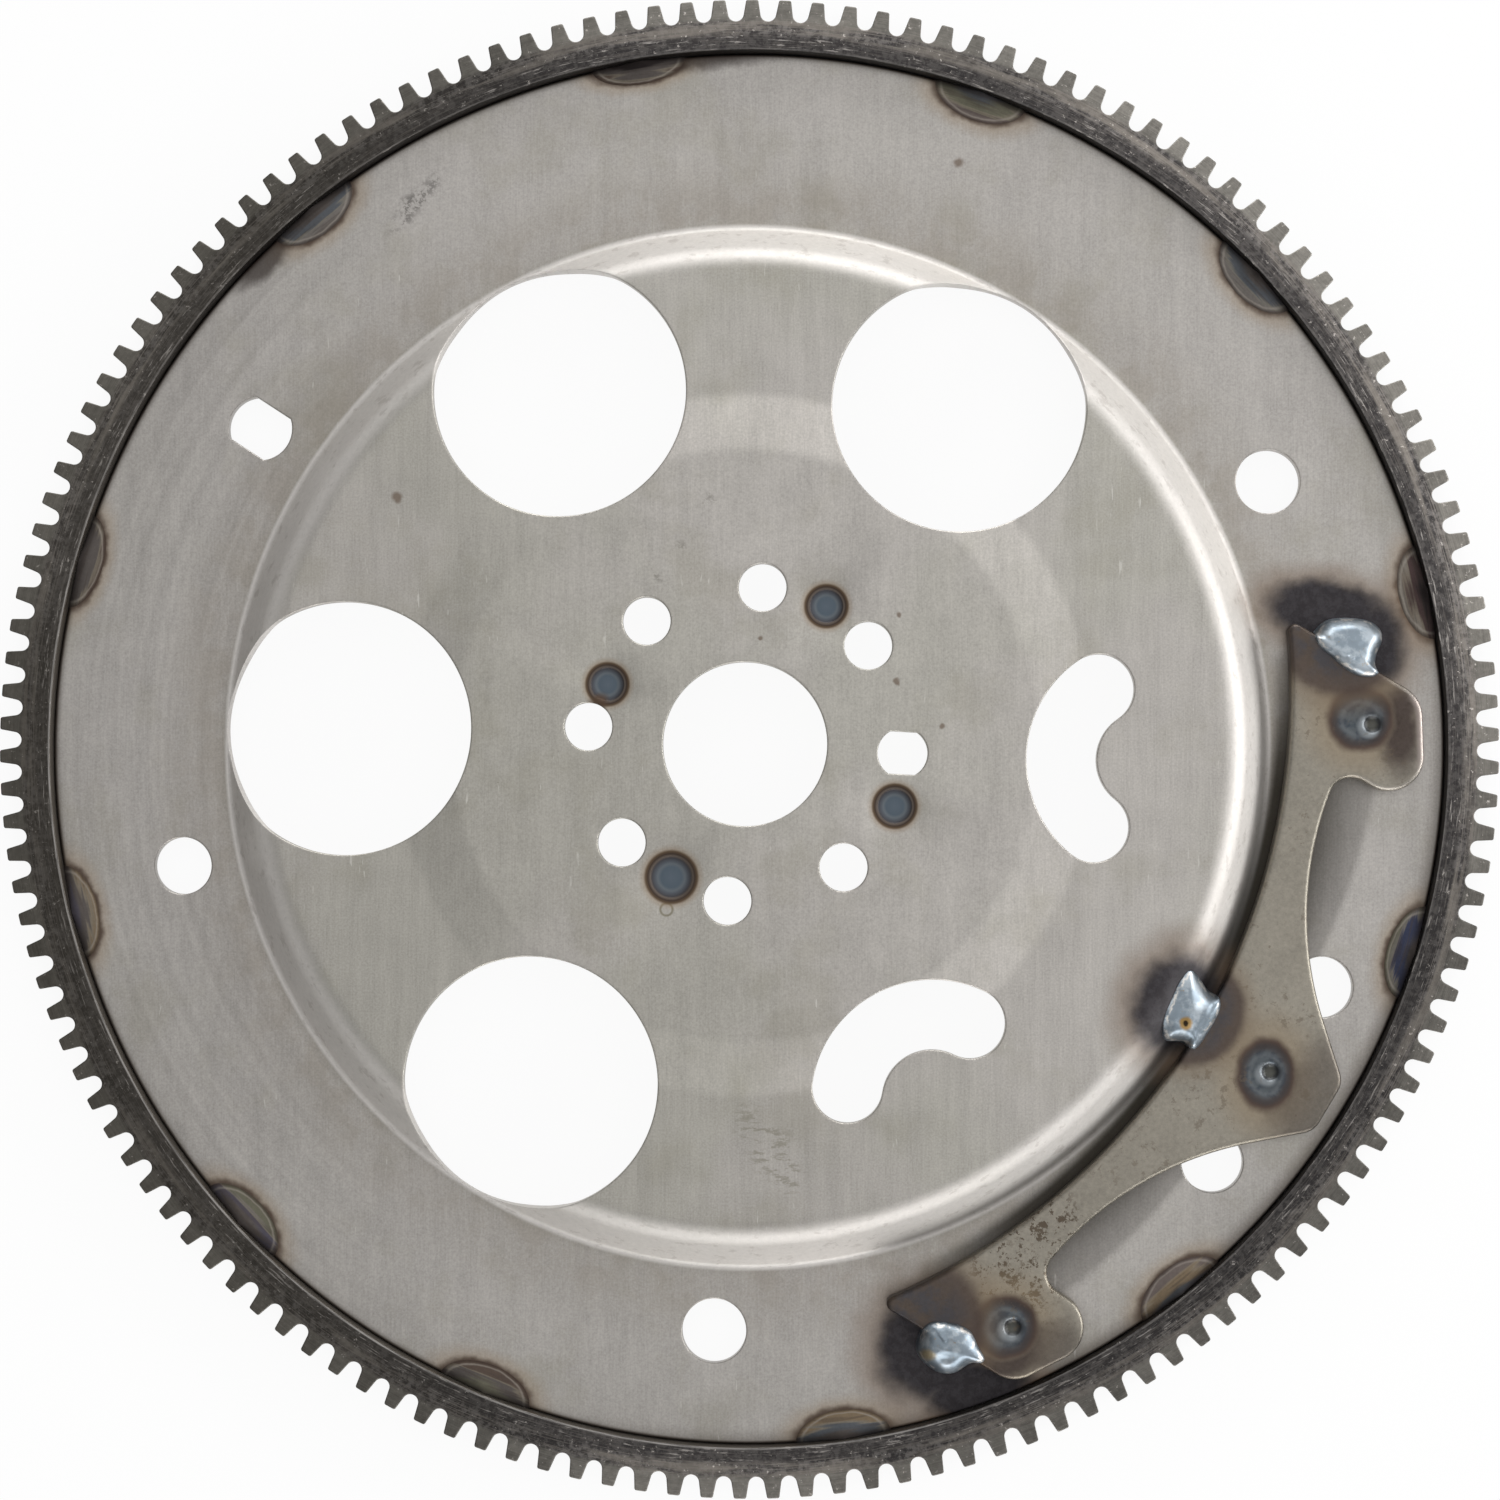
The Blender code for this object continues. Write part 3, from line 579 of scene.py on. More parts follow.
def toothRingTree():
    tree = bpy.data.node_groups.new("teethRoundTheRim", "GeometryNodeTree")
    sockets = {"Geometry": "Geometry", "Teeth": "Int", "Phase": "Float", "Seed": "Int", "Material": "Material"}
    for name, kind in sockets.items():
        tree.interface.new_socket(name, in_out="INPUT", socket_type="NodeSocket" + kind)
    tree.interface.new_socket("Geometry", in_out="OUTPUT", socket_type="NodeSocketGeometry")

    def put(kind, settings, values, output=0):
        return addNode(tree, kind, settings, values).outputs[output]

    given = addNode(tree, "NodeGroupInput", {}, {}).outputs
    index = put("GeometryNodeInputIndex", {}, {})
    pitch = put("ShaderNodeMath", {"operation": "DIVIDE"}, {0: 2 * math.pi, 1: given["Teeth"]})
    turned = put("ShaderNodeMath", {"operation": "MULTIPLY_ADD"}, {0: index, 1: pitch, 2: given["Phase"]})
    rotation = put("ShaderNodeCombineXYZ", {}, {2: turned})
    points = put("GeometryNodePoints", {}, {"Count": given["Teeth"]})
    placed = put("GeometryNodeInstanceOnPoints", {}, {
        "Points": points, "Instance": given["Geometry"], "Rotation": rotation})
    shade = put("FunctionNodeRandomValue", {"data_type": "FLOAT"}, {"ID": index, "Seed": given["Seed"]}, 1)
    stored = put("GeometryNodeStoreNamedAttribute", {"data_type": "FLOAT", "domain": "INSTANCE"}, {
        "Geometry": placed, "Name": "toothShade", "Value": shade})
    real = put("GeometryNodeRealizeInstances", {}, {0: stored})
    merged = put("GeometryNodeMergeByDistance", {}, {"Geometry": real, "Distance": ringGear["merge"] * mm})
    painted = put("GeometryNodeSetMaterial", {}, {"Geometry": merged, "Material": given["Material"]})
    addNode(tree, "NodeGroupOutput", {}, {0: painted})
    return tree


def toothedRing(finish):
    piece = onePitch()
    round_ = piece.modifiers.new("teeth", "NODES")
    round_.node_group = toothRingTree()
    wanted = {"Teeth": ringGear["teeth"], "Phase": ringGear["phase"], "Seed": ringGear["seed"], "Material": finish}
    for item in round_.node_group.interface.items_tree:
        if item.in_out == "INPUT" and item.name in wanted:
            round_[item.identifier] = wanted[item.name]
    return settled(piece)


# Balance weight, in its own frame: x across, y outwards along its axis

weightLow, weightHigh = boxOf("counterweight")
weight = dict(
    low=weightLow.z, top=weightHigh.z, turn=(329.1 - 90) * deg, shift=2.3, crest=138.2, innerMiddle=107.8,
    innerRound=133.0, halfSpan=80.6, horn=5.7, hornRound=4.5, saddleNeck=6.5, saddleRound=70.0,
    lobeWidth=20.6, lobeRise=0.9, lobeRound=7.0, notchNeck=11.6, notchRound=4.5, tailRound=1.5,
    lip=0.95, backLip=0.3,
)
craters = dict(across=70.8, sideAlong=106.4, middleAlong=124.5, dish=5.8, dishDepth=0.5, pit=1.8, pitDepth=0.8,
               rise=0.3, riseAt=2.6, riseWidth=0.6,
               rings=(0.5, 1.0, 1.4, 1.7, 1.9, 2.1, 2.4, 2.8, 3.3, 4.0, 4.9, 5.8, 6.6))  # mesh lines round each


def weightPlace():
    return Matrix.Rotation(weight["turn"], 4, "Z") @ Matrix.Translation((weight["shift"], 0, 0))


def weightOutline():
    w = weight
    centre = w["innerMiddle"] - w["innerRound"]

    def crest(x): return math.sqrt(w["crest"] ** 2 - x * x)
    def inner(x): return centre + math.sqrt(w["innerRound"] ** 2 - x * x)

    notch = w["halfSpan"] - w["lobeWidth"]
    saddle = notch / 2
    half = [
        (Vector((w["horn"], w["crest"])), w["hornRound"]),
        (Vector((saddle, inner(saddle) + w["saddleNeck"])), w["saddleRound"]),
        (Vector((notch, inner(notch) + w["notchNeck"])), w["notchRound"]),
        (Vector((notch, crest(notch) + w["lobeRise"])), w["lobeRound"]),
        (Vector((w["halfSpan"], crest(w["halfSpan"]))), w["lobeRound"]),
        (Vector((w["halfSpan"], inner(w["halfSpan"]))), w["tailRound"]),
    ]
    sweep = math.asin(w["halfSpan"] / w["innerRound"]) - 2 * w["tailRound"] / w["innerRound"]
    along = arcLine((0, centre), w["innerRound"], math.pi / 2 - sweep, math.pi / 2 + sweep, 2.0)
    mirrored = [(Vector((-p.x, p.y)), r) for p, r in half[::-1]]
    return softPath(half + [(p, 0) for p in along] + mirrored, closed=True, spacing=0.7)


def craterPlaces():
    side, middle = craters["sideAlong"], craters["middleAlong"]
    return [Vector(place) for place in ((-craters["across"], side), (0, middle), (craters["across"], side))]


def balanceWeight():
    w, c = weight, craters
    centres = craterPlaces()
    guides = [(roundHole(centre, radius, 0.45), True) for centre in centres for radius in c["rings"]]

    def front(p, far):
        height = w["top"] - roundedDrop(far, w["lip"])
        for centre in centres:
            away = (p - centre).length
            if away < c["dish"]:
                height -= c["dishDepth"] * (1 - (away / c["dish"]) ** 2)
            if away < c["pit"]:
                height -= c["pitDepth"] * (1 - (away / c["pit"]) ** 3)
            height += c["rise"] * math.exp(-((away - c["riseAt"]) / c["riseWidth"]) ** 2)  # raised lip of the pit
        return min(height, w["top"])

    piece = sheetMesh(
        "balanceWeight", weightOutline(), [], guides, front,
        lambda p, far: w["low"] + roundedDrop(far, w["backLip"]), w["lip"])
    piece.data.transform(Matrix.Rotation(w["turn"], 4, "Z") @ Matrix.Translation((w["shift"] * mm, 0, 0)))
    return piece


# Weld metal on the weight: each outline is a row of places on the disc

beadSkin = dict(step=0.3, jog=0.1, lump=0.6, ripple=0.1, swell=0.12, swellReach=6, onDome=106.5, overWeight=2,
                hollowDepth=0.7, hollowHalf=(1.9, 1.2), seat=0.08, least=0.3, sunk=0.5, lip=0.25)
beads = {
    "upper": dict(crown=12.7, lean=0.3, seed=3.0, skirt=3.0, outline=(
        (115.1, 21.3), (115.5, 23.3), (117.9, 25.4), (121.7, 25.9), (126.4, 25.3), (128.8, 23.3), (129.0, 20.9),
        (128.1, 18.9), (127.6, 16.8), (127.8, 14.7), (126.3, 13.7), (123.4, 14.0), (120.8, 15.4), (118.4, 17.6),
        (116.3, 19.3))),
    "middle": dict(crown=13.4, lean=0.42, seed=9.0, skirt=3.0, outline=(
        (89.6, -45.4), (93.4, -49.4), (95.3, -50.9), (95.4, -53.6), (92.7, -58.6), (90.4, -61.3), (88.0, -60.2),
        (84.3, -59.3), (83.8, -55.4), (85.6, -50.5), (87.2, -47.2))),
    "lower": dict(crown=12.7, lean=0.3, seed=5.0, skirt=3.2, hollow=(40.4, -123.4), outline=(
        (36.8, -116.5), (40.8, -116.3), (44.9, -117.8), (46.9, -121.3), (48.0, -123.9), (45.2, -125.2),
        (42.3, -127.0), (39.2, -127.1), (36.2, -125.2), (34.5, -122.7), (34.8, -119.5))),
}


def weightBead(which):
    b, s = beads[which], beadSkin
    outline = smoothLoop(b["outline"])
    back = weightPlace().inverted()
    shape = weightOutline()
    measureWeight = edgeMeter([(shape, True)])

    def seat(p):  # what lies under the bead there, the weight or the disc, and how far onto the weight that is
        local = (back @ Vector((p.x, p.y, 0))).to_2d()
        away = measureWeight(local) * (1 if isInside(local.x, local.y, shape) else -1)
        onWeight = max(0, min(1, 0.6 + away / 1.2))
        base = heightOn(discFront, p.length)
        return base + (max(weight["top"], base) - base) * onWeight * onWeight * (3 - 2 * onWeight), away

    xs, ys = [p.x for p in outline], [p.y for p in outline]
    grid, step = [], s["step"]
    for i in range(int((max(xs) - min(xs)) / step)):
        for j in range(int((max(ys) - min(ys)) / step)):
            jog = noise.noise_vector((i * 0.7, j * 0.9, b["seed"])) * s["jog"]
            x, y = min(xs) + i * step + jog.x, min(ys) + j * step + jog.y
            if isInside(x, y, outline):
                grid.append(Vector((x, y)))

    def top(p, far):
        swell = math.sqrt(1 - (1 - min(far / b["skirt"], 1)) ** 2)
        crown = b["crown"] + noise.noise((p.x * 0.2, p.y * 0.2, b["seed"])) * s["lump"]
        crown += noise.noise((p.x * 0.6, p.y * 0.5, b["seed"] + 4)) * s["ripple"] + s["swell"] * min(far, s["swellReach"])
        low, away = seat(p)
        climb = max(0, s["onDome"] - p.length) if which == "middle" else min(away, s["overWeight"])
        crown += climb * b["lean"]
        if "hollow" in b:
            off = [(p[i] - b["hollow"][i]) / s["hollowHalf"][i] for i in range(2)]
            crown -= s["hollowDepth"] * math.exp(-off[0] ** 2 - off[1] ** 2)
        return low + s["seat"] + (max(crown, low + s["least"]) - low) * swell

    piece = sheetMesh(
        which + "Bead", outline, [], [], top, lambda p, far: heightOn(discFront, p.length) - s["sunk"], s["lip"],
        extraPoints=grid)
    piece.data.set_sharp_from_angle(angle=math.pi)
    return piece


# Burnt welds between the disc and the ring gear

temper = dict(
    # the near-black first colour, used by the ring on two welds, is painted shadow that the ring casts
    soot=(44, 40, 40), ash=(122, 116, 108), silver=(108, 103, 99), grey=(84, 79, 76), brown=(84, 73, 66),
    red=(74, 61, 60), pink=(104, 95, 91), straw=(116, 102, 84), olive=(98, 96, 83), steel=(82, 85, 89),
    blue=(58, 62, 80), violet=(80, 77, 86),
)
temperPlaces = ("byRing", "inMiddle", "byBorder")
rimWelds = dict(halfLength=9.7, reach=5.7, height=1.6, brim=0.13, ripple=0.05, lump=0.1, seat=0.05, sunk=0.2, lip=0.12,
                stepOut=0.42, stepAlong=0.5, places=(  # angle, share of the reach, colours from the ring outwards in
    (12.7, 1.0, "soot", "red", "ash"), (42.7, 1.0, "grey", "steel", "silver"), (70.2, 1.0, "steel", "olive", "pink"),
    (99.0, 0.78, "soot", "grey", "brown"), (129.0, 1.0, "grey", "steel", "silver"), (164.5, 0.84, "grey", "grey", "brown"),
    (193.9, 0.9, "violet", "grey", "straw"), (223.3, 1.0, "grey", "violet", "olive"), (247.9, 1.0, "olive", "grey", "brown"),
    (278.0, 1.0, "grey", "steel", "straw"), (308.5, 1.0, "steel", "straw", "pink"), (342.7, 0.96, "grey", "blue", "olive"),
))


def rimWeld(number, angle, share, *colours):
    r = rimWelds
    wall = disc["radius"]
    reach = r["reach"] * share
    half = math.asin(r["halfLength"] / wall)
    turns = [math.pi * i / 40 for i in range(1, 40)]
    inner = [Vector((wall - reach * math.sin(t), r["halfLength"] * math.cos(t))) for t in turns]
    outline = arcLine((0, 0), wall, -half, half, 0.6) + inner
    grid = []
    for i in range(1, 16):
        for j in range(-20, 21):
            x, y = wall - i * r["stepOut"], j * r["stepAlong"] + (i % 2) * 0.22
            if isInside(x, y, outline):
                grid.append(Vector((x, y)))

    def top(p, far):
        e = min(math.hypot((wall - p.x) / reach, p.y / r["halfLength"]), 1)
        fillet = r["height"] * (1 - e) ** 1.6
        ripple = r["ripple"] * math.sin(e * 16 + number) * (1 - e)
        lump = noise.noise((p.x * 0.5 + number * 7, p.y * 0.5, 1)) * r["lump"] * (1 - e)
        return disc["rimTop"] + r["seat"] + r["brim"] * (1 - e ** 8) + fillet + ripple + lump

    piece = sheetMesh(
        f"rimWeld{number:02d}", outline, [], [], top, lambda p, far: disc["rimTop"] - r["sunk"], r["lip"],
        extraPoints=grid)
    piece.data.set_sharp_from_angle(angle=math.pi)
    piece.data.transform(Matrix.Rotation(angle * deg, 4, "Z"))
    for place, name in zip(temperPlaces, colours):
        tint = piece.data.attributes.new(place, "FLOAT_COLOR", "POINT")
        tint.data.foreach_set("color", [*srgb(*temper[name]), 1] * len(piece.data.vertices))
    return piece


# Finishes: a blob is given as its place on the disc, its half widths and its turn

discMarks = dict(
    dots=((43.5, 119.1, 1.1), (30.4, 12.4, 0.6), (39.6, 3.4, 0.6), (-70.0, 49.6, 1.0), (30.8, 26.0, 0.5), (3.0, 21.4, 0.5)),
    smears=((-7.0, 48.9, 2.6, 1.8, 0.9), (-13.0, 39.9, 1.6, 1.2, 0), (-18.0, 33.9, 2.0, 0.9, 2.4)),
    smudge=(-68.0, 111.5, 10.5, 2.6, 0.85), scuff=(5.0, -81.0, 11, 4.5, -1.0), ring=(-15.7, -33.1, 1.35),
    smoke=((*polar(141.5, 95 * deg), 3.6, 24, 95 * deg), (*polar(140, 135 * deg), 3.4, 9, 135 * deg)),
    spotRings=((0.0, (88, 97, 106)), (0.40, (82, 92, 101)), (0.52, (96, 102, 107)), (0.62, (82, 86, 92)),
               (0.74, (70, 69, 72)), (0.82, (98, 89, 82)), (0.90, (66, 56, 50)), (1.0, (92, 77, 62))),
    spotTail=(-29.4, 8.3, 2.8, 2.0, 0.6), gap=(81.5, -48.8, 84, 30, weight["turn"]),
    burns=((118.0, 27.5, 12.5, 6.6, -0.12), (124.5, 20.5, 9.5, 10.5, 0.2), (37.5, -122.0, 11.5, 11.5, 0.3),
           (47.0, -130.5, 11.0, 5.5, 0.25), (86.5, -52.0, 9.5, 11.0, -0.5)),
)
ringMarks = dict(  # patches of painted sheen, mostly on the lit right, top and bottom: place, half width, where it starts to fade, share
    sheenPatches=((128, 78, 112, 0.5, 1.0), (-8, -146, 42, 0.4, 0.6), (0, 146, 46, 0.4, 0.7), (-130, 60, 50, 0.4, 0.7)),
)
weightMarks = dict(  # the first three are in the weight's own frame
    rust=((57, 101.5, 14, 9),),
    blotches=((-70.5, 103.8, 6.3, 6.1), (0.9, 123.9, 5.5, 6.8), (71.5, 105.1, 6.1, 6.1)),
    burns=((-84, 91, 13, 13.5), (82, 90, 15, 13), (-2.3, 105.5, 10.5, 9.5)),
    brown=((131.8, 3.6, 5.2, 11.0, 0.06, 0.93), (51.0, -124.5, 9.5, 4.4, 0.38, 0.9),  # and share
           (61.0, -121.0, 8.0, 5.5, 0.38, 0.6), (114.5, -70.5, 15.0, 8.5, weight["turn"], 0.55)),
    glint=(135.8, 3.0, 4.0, 9.0), craterShine=(-0.8, -0.5, 2.6),
)
beadMarks = dict(pore=(88.3, -56.0, 1.3, 1.3, 0), straw=(36.6, -122.8, 1.7, 1.3, 0))


def weldField(f, at=None):  # 1 on the border of the nearest rim weld, less inside it, more outside
    r = rimWelds
    return f.nearest([(*polar(disc["radius"], angle * deg), r["reach"] * share, r["halfLength"], angle * deg)
                      for angle, share, *_ in r["places"]], at)


def spotField(f, wider=1.0):  # 1 on the outer ring of the nearest electrode mark
    return f.nearest([(*polar(away, angle * deg), radius + wider) for angle, away, radius in spotMarks["places"]])


def onDisc(blobs, turn=0):  # blobs moved from the weight's own frame to the disc's
    place = weightPlace()
    return [(*(place @ Vector((x, y, 0))).xy, halfX, halfY, turn) for x, y, halfX, halfY in blobs]


def pressedSteelFinish():
    f = Finish("pressed steel")
    m = discMarks
    x, y, across = f.axisPart(0), f.axisPart(1), f.fromAxis()
    brushing = f.grain(1, 3, 0.6, (3.4, 0.14, 1))
    streak = f.grain(1, 4, 0.55, (0.4, 0.03, 0.3))
    cloud = f.grain(0.02, 4, 0.55)
    blotch = f.grain(0.11, 5, 0.62)
    speck = f.grain(2.4, 3, 0.6)
    wide = f.grain(0.05, 4, 0.6)
    crumbs = f.grain(0.5, 5, 0.75)
    torn = f.wobbled(0.35, 1.6, 2)
    sooty = f.wobbled(0.22, 4.0, 4)
    rim = across.fade(109, 104)
    f.colour = f.mix(cloud.fade(0.62, 0.42), (168, 165, 158), (172, 168, 163))
    f.coat(rim * 0.8, (170, 166, 162))
    f.shade(0.25 + 0.36 * brushing + 0.24 * streak + 0.32 * blotch + 0.6 * speck)

    # faint bands that the press has drawn on the left of the rim, with painted shade that makes that side a little
    # darker
    bands = f.hoops(across, 3, 0.5, 0.5, 0.9)
    left = x.fade(-105, -55) * rim
    f.shade(1 - left * 0.05 + (bands - 0.5) * left * 0.4)
    f.coat(wide.fade(0.68, 0.5) * 0.22, (140, 136, 118))

    # the shallow cone catches more light above and below the hub
    cone = across.fade(69.0, 71.5) * across.fade(60.5, 58.0)
    f.shade(1 + cone * (y.size() * 0.004 + x * 0.0008 - 0.04))

    # wall of the dome, polished by the press and dented, and the dirt at its foot
    wall = across.fade(99.0, 95.5) * across.fade(106.2, 107.0)
    dents = f.grain(0.9, 4, 0.7)
    f.coat(wall * 0.7, f.lit((213, 209, 205), 0.82 + 0.36 * dents))
    f.coat(f.hoops(across, 4, 0.7, 0.8, 30).fade(0.66, 0.56) * wall * 0.35, (150, 142, 136))
    foot = across.fade(107.0, 106.2) * across.fade(108.0, 124.0)
    f.coat(foot * (0.12 + 0.22 * blotch.fade(0.6, 0.4)), (124, 114, 98))
    # painted shade: darker towards the lower left of the wall and the rim
    f.coat((x + y * 0.6).fade(-40, 30) * across.fade(100, 108) * 0.1, (96, 92, 78))

    # painted shadow and painted dark reflection of the weight, in the gap between the dome and the weight
    back = weightPlace() @ Vector((0, weight["innerMiddle"] - weight["innerRound"], 0))
    fromBack = weight["innerRound"] - f.blob(back.x, back.y, 1)
    gap = f.blob(*m["gap"]).fade(0.55, 1.0)
    f.coat(fromBack.fade(1.2, 4.2) * (0.3 + gap * 0.62) * gap.fade(0.1, 0.0), (38, 34, 27))

    # handling marks: scratches, dirt and small dark dots
    scratch = f.grain(1, 2, 0.5, (1.3, 0.16, 1)).fade(0.74, 0.70) * wide.fade(0.62, 0.5)
    f.coat(scratch * 0.45, (214, 212, 206))
    f.coat(crumbs.fade(0.73, 0.69) * wide.fade(0.6, 0.5) * 0.5, (104, 100, 86))
    f.coat(f.blob(*m["smudge"], sooty).fade(0.2, 1.1) * crumbs.fade(0.56, 0.47) * 0.7, (92, 89, 86))
    f.coat(f.nearest(m["smears"], torn).fade(0.2, 1.2) * crumbs.fade(0.58, 0.46) * 0.5, (112, 109, 102))
    f.coat(f.nearest(m["dots"], torn).fade(0.5, 1.4) * 0.7, (98, 80, 64))
    f.coat(f.blob(*m["ring"]).band(0.9, 0.3) * 0.7, (104, 98, 74))
    scuffed = f.blob(*m["scuff"], sooty).fade(0.6, 1.3) * f.grain(1, 4, 0.7, (0.3, 0.9, 1)).fade(0.6, 0.5)
    f.coat(scuffed * 0.45, (110, 106, 88))

    # heat round the rim welds, painted shade in the corner by the ring, and smoke
    field = weldField(f, torn)
    f.coat(field.fade(1.0, 1.7) * 0.45, (150, 128, 98))
    f.coat(field.fade(0.98, 1.22) * 0.85, (66, 50, 42))
    # painted shade: a dark band along the edge of the disc, where the ring's wall stands over it
    corner = across.fade(141.6, 140.2).most(across.fade(141.6, 137.6) * (x - y).fade(200, 70))
    f.coat(corner * 0.6, (84, 74, 64))
    f.coat(across.fade(141.4, 140.9) * 0.8, (64, 57, 52))
    f.coat(f.nearest(m["smoke"], torn).fade(0.4, 1.1) * 0.8, (58, 49, 45))

    # electrode marks of the hub plate's spot welds
    spot = spotField(f)
    f.coat(spot.fade(0.95, 1.35) * 0.55, (140, 118, 92))
    f.coat(spot.fade(0.98, 1.1), f.ramp(spot, m["spotRings"]))
    f.coat(f.blob(*m["spotTail"], torn).fade(0.4, 1.1) * 0.8, (82, 66, 54))

    # soot and heat round the three beads
    burn = f.nearest(m["burns"], sooty)
    f.coat(burn.fade(1.0, 1.75) * 0.6, (122, 104, 88))
    f.coat(burn.fade(0.7, 1.2) * 0.95, f.mix(crumbs.fade(0.6, 0.4), (55, 53, 57), (68, 66, 70)))
    rough = 0.36 + 0.12 * brushing + 0.1 * blotch + burn.fade(0.8, 1.2) * 0.2 + wall * 0.12
    height = brushing * 0.3 + speck * 0.4 + dents * wall * 1.2
    return f.wear(rough, height, 0.25, 0.06, metal=1 - wall * 0.42)


def ringSteelFinish():
    f = Finish("hardened ring steel")
    x, y, across = f.axisPart(0), f.axisPart(1), f.fromAxis()
    turned = f.hoops(across, 5, 0.65, 5, 14)
    patch = f.hoops(across, 5, 0.6, 0.5, 6)
    fine = f.hoops(across, 3, 0.6, 9, 20)
    mottle = f.grain(0.8, 6, 0.7)
    f.colour = f.mix(mottle.fade(0.6, 0.42), (52, 50, 50), (92, 89, 87))
    f.coat(turned.fade(0.62, 0.5) * 0.45, (128, 122, 116))
    belt = across.fade(145.6, 144.2) * across.fade(147.4, 149.0)
    f.coat(patch.fade(0.6, 0.44) * belt * 0.65, (108, 103, 97))
    land = across.fade(144.4, 145.6)
    f.coat(land * 0.55, (50, 48, 48))
    toothLight = 0.44 + 0.24 * f.stored("toothShade") + 0.8 * (fine - 0.5) + 0.3 * mottle
    f.coat(across.fade(148.6, 147.2) * 0.8, f.lit((118, 115, 109), toothLight))
    f.coat(f.grain(1.0, 4, 0.7).fade(0.71, 0.62) * 0.65, (184, 178, 172))  # nicks
    f.coat(f.hoops(across, 4, 0.7, 2.2, 26).fade(0.66, 0.58) * land * 0.55, (168, 163, 158))
    # painted sheen in patches round the ring
    sheenPatches = 0
    for spotX, spotY, half, full, share in ringMarks["sheenPatches"]:
        sheenPatches = f.blob(spotX, spotY, half).fade(full, 1.1) * share + sheenPatches
    f.shade(1.02 + sheenPatches * (0.46 + 0.28 * across.fade(146, 144)) + 0.8 * (patch - 0.5))
    # painted shade: darker towards the left, away from the light
    f.coat(x.fade(-110, -20) * 0.3, (72, 67, 56))
    lit = (x * 0.74 + y * 0.67).fade(-118, 0)  # where the bore's wall faces the light
    # painted highlight on the edge of the bore, and painted light and shade on the bore's wall
    shine = (0.15 + 0.6 * lit) * (0.35 + 0.65 * turned.fade(0.56, 0.42))
    f.coat(across.band(142.1, 0.3) * shine, (178, 174, 170))
    f.coat(across.fade(141.84, 141.92) * 0.95, f.mix(lit * 0.7, (42, 39, 37), (112, 106, 98)))
    return f.wear(0.4 + 0.22 * mottle, mottle * 0.6 + turned * 0.5, 0.4, 0.12)


def weightSteelFinish():
    f = Finish("weight steel")
    m, place = weightMarks, weightPlace()
    speck = f.grain(1.3, 4, 0.7)
    cloud = f.grain(0.05, 4, 0.55)
    pits = f.grain(0.5, 5, 0.75)
    blotch = f.grain(0.16, 5, 0.65)
    torn = f.wobbled(0.3, 1.2, 2)
    pushed = f.wobbled(0.22, 3.6, 2)
    f.colour = f.lit((137, 132, 122), 0.3 + 0.8 * speck + 0.3 * cloud + 0.4 * blotch)
    rust = f.nearest(onDisc(m["rust"], weight["turn"]), pushed)
    f.coat(rust.fade(0.8, 1.3) * pits.fade(0.58, 0.54) * 0.8, (74, 62, 50))
    f.coat(pits.fade(0.70, 0.65) * 0.5, (92, 80, 68))

    # heat of the three projection welds, and brown heat on the lobes and by the horn
    spot = f.nearest(onDisc(m["blotches"]), torn)
    f.coat(spot.fade(1.0, 2.4) * 0.45, (140, 122, 96))
    f.coat(spot.fade(0.95, 1.25) * 0.9, (72, 58, 54))
    f.coat(spot.fade(0.6, 0.95) * 0.95, f.mix(f.grain(0.5, 3).fade(0.6, 0.4), (64, 71, 78), (84, 90, 94)))
    f.coat(spot.band(0.84, 0.2) * 0.6, (62, 60, 61))
    f.coat(spot.band(0.58, 0.12) * 0.3, (112, 114, 116))
    for *blob, share in m["brown"]:
        brown = f.blob(*blob, pushed).fade(0.45, 1.25) * spot.fade(1.2, 0.95)
        f.coat(brown * share, f.lit((74, 65, 62), 0.45 + 0.8 * speck))

    # craters, painted highlights beside the pits, on the right-hand edges and on the upper lobe's edge, and dark marks
    centres = [place @ centre.to_3d() for centre in craterPlaces()]
    shineX, shineY, half = m["craterShine"]
    shine = f.nearest([(c.x + shineX, c.y + shineY, half) for c in centres])
    f.coat(shine.fade(0.7, 1.1) * 0.6, (142, 147, 150))
    pit = f.nearest([(c.x, c.y, craters["pit"]) for c in centres])
    f.coat(pit.fade(0.85, 1.05) * 0.75, (62, 62, 63))
    f.coat(pit.fade(0.4, 0.9) * 0.8, (86, 86, 80))
    fromEdge = f.stored("fromEdge")
    f.coat(fromEdge.fade(0.5, 1.1) * f.axisPart(0).fade(130, 118) * 0.5, (186, 180, 172))
    f.coat(fromEdge.fade(0.7, 2.0) * f.blob(*m["glint"]).fade(0.6, 1.1) * 0.5, (168, 156, 152))
    f.coat(f.grain(0.6, 5, 0.75).fade(0.62, 0.55) * f.grain(0.08, 2).fade(0.58, 0.46) * 0.5, (98, 88, 76))

    # heat of the beads
    burn = f.nearest(onDisc(m["burns"], weight["turn"]), torn)
    f.coat(burn.fade(1.0, 1.5) * 0.5, (118, 102, 84))
    f.coat(burn.fade(0.92, 1.15) * 0.85, f.lit((76, 66, 62), 0.7 + 0.6 * speck))
    heat = f.mix(f.grain(0.24, 4, 0.65, at=torn).fade(0.66, 0.38), (72, 72, 76), (84, 75, 68))
    f.coat(burn.fade(0.55, 0.98) * 0.8, f.lit(heat, 0.5 + 0.6 * speck + 0.4 * blotch))
    return f.wear(0.36 + 0.2 * speck, speck * 0.7 + pits * 0.3, 0.3, 0.1)


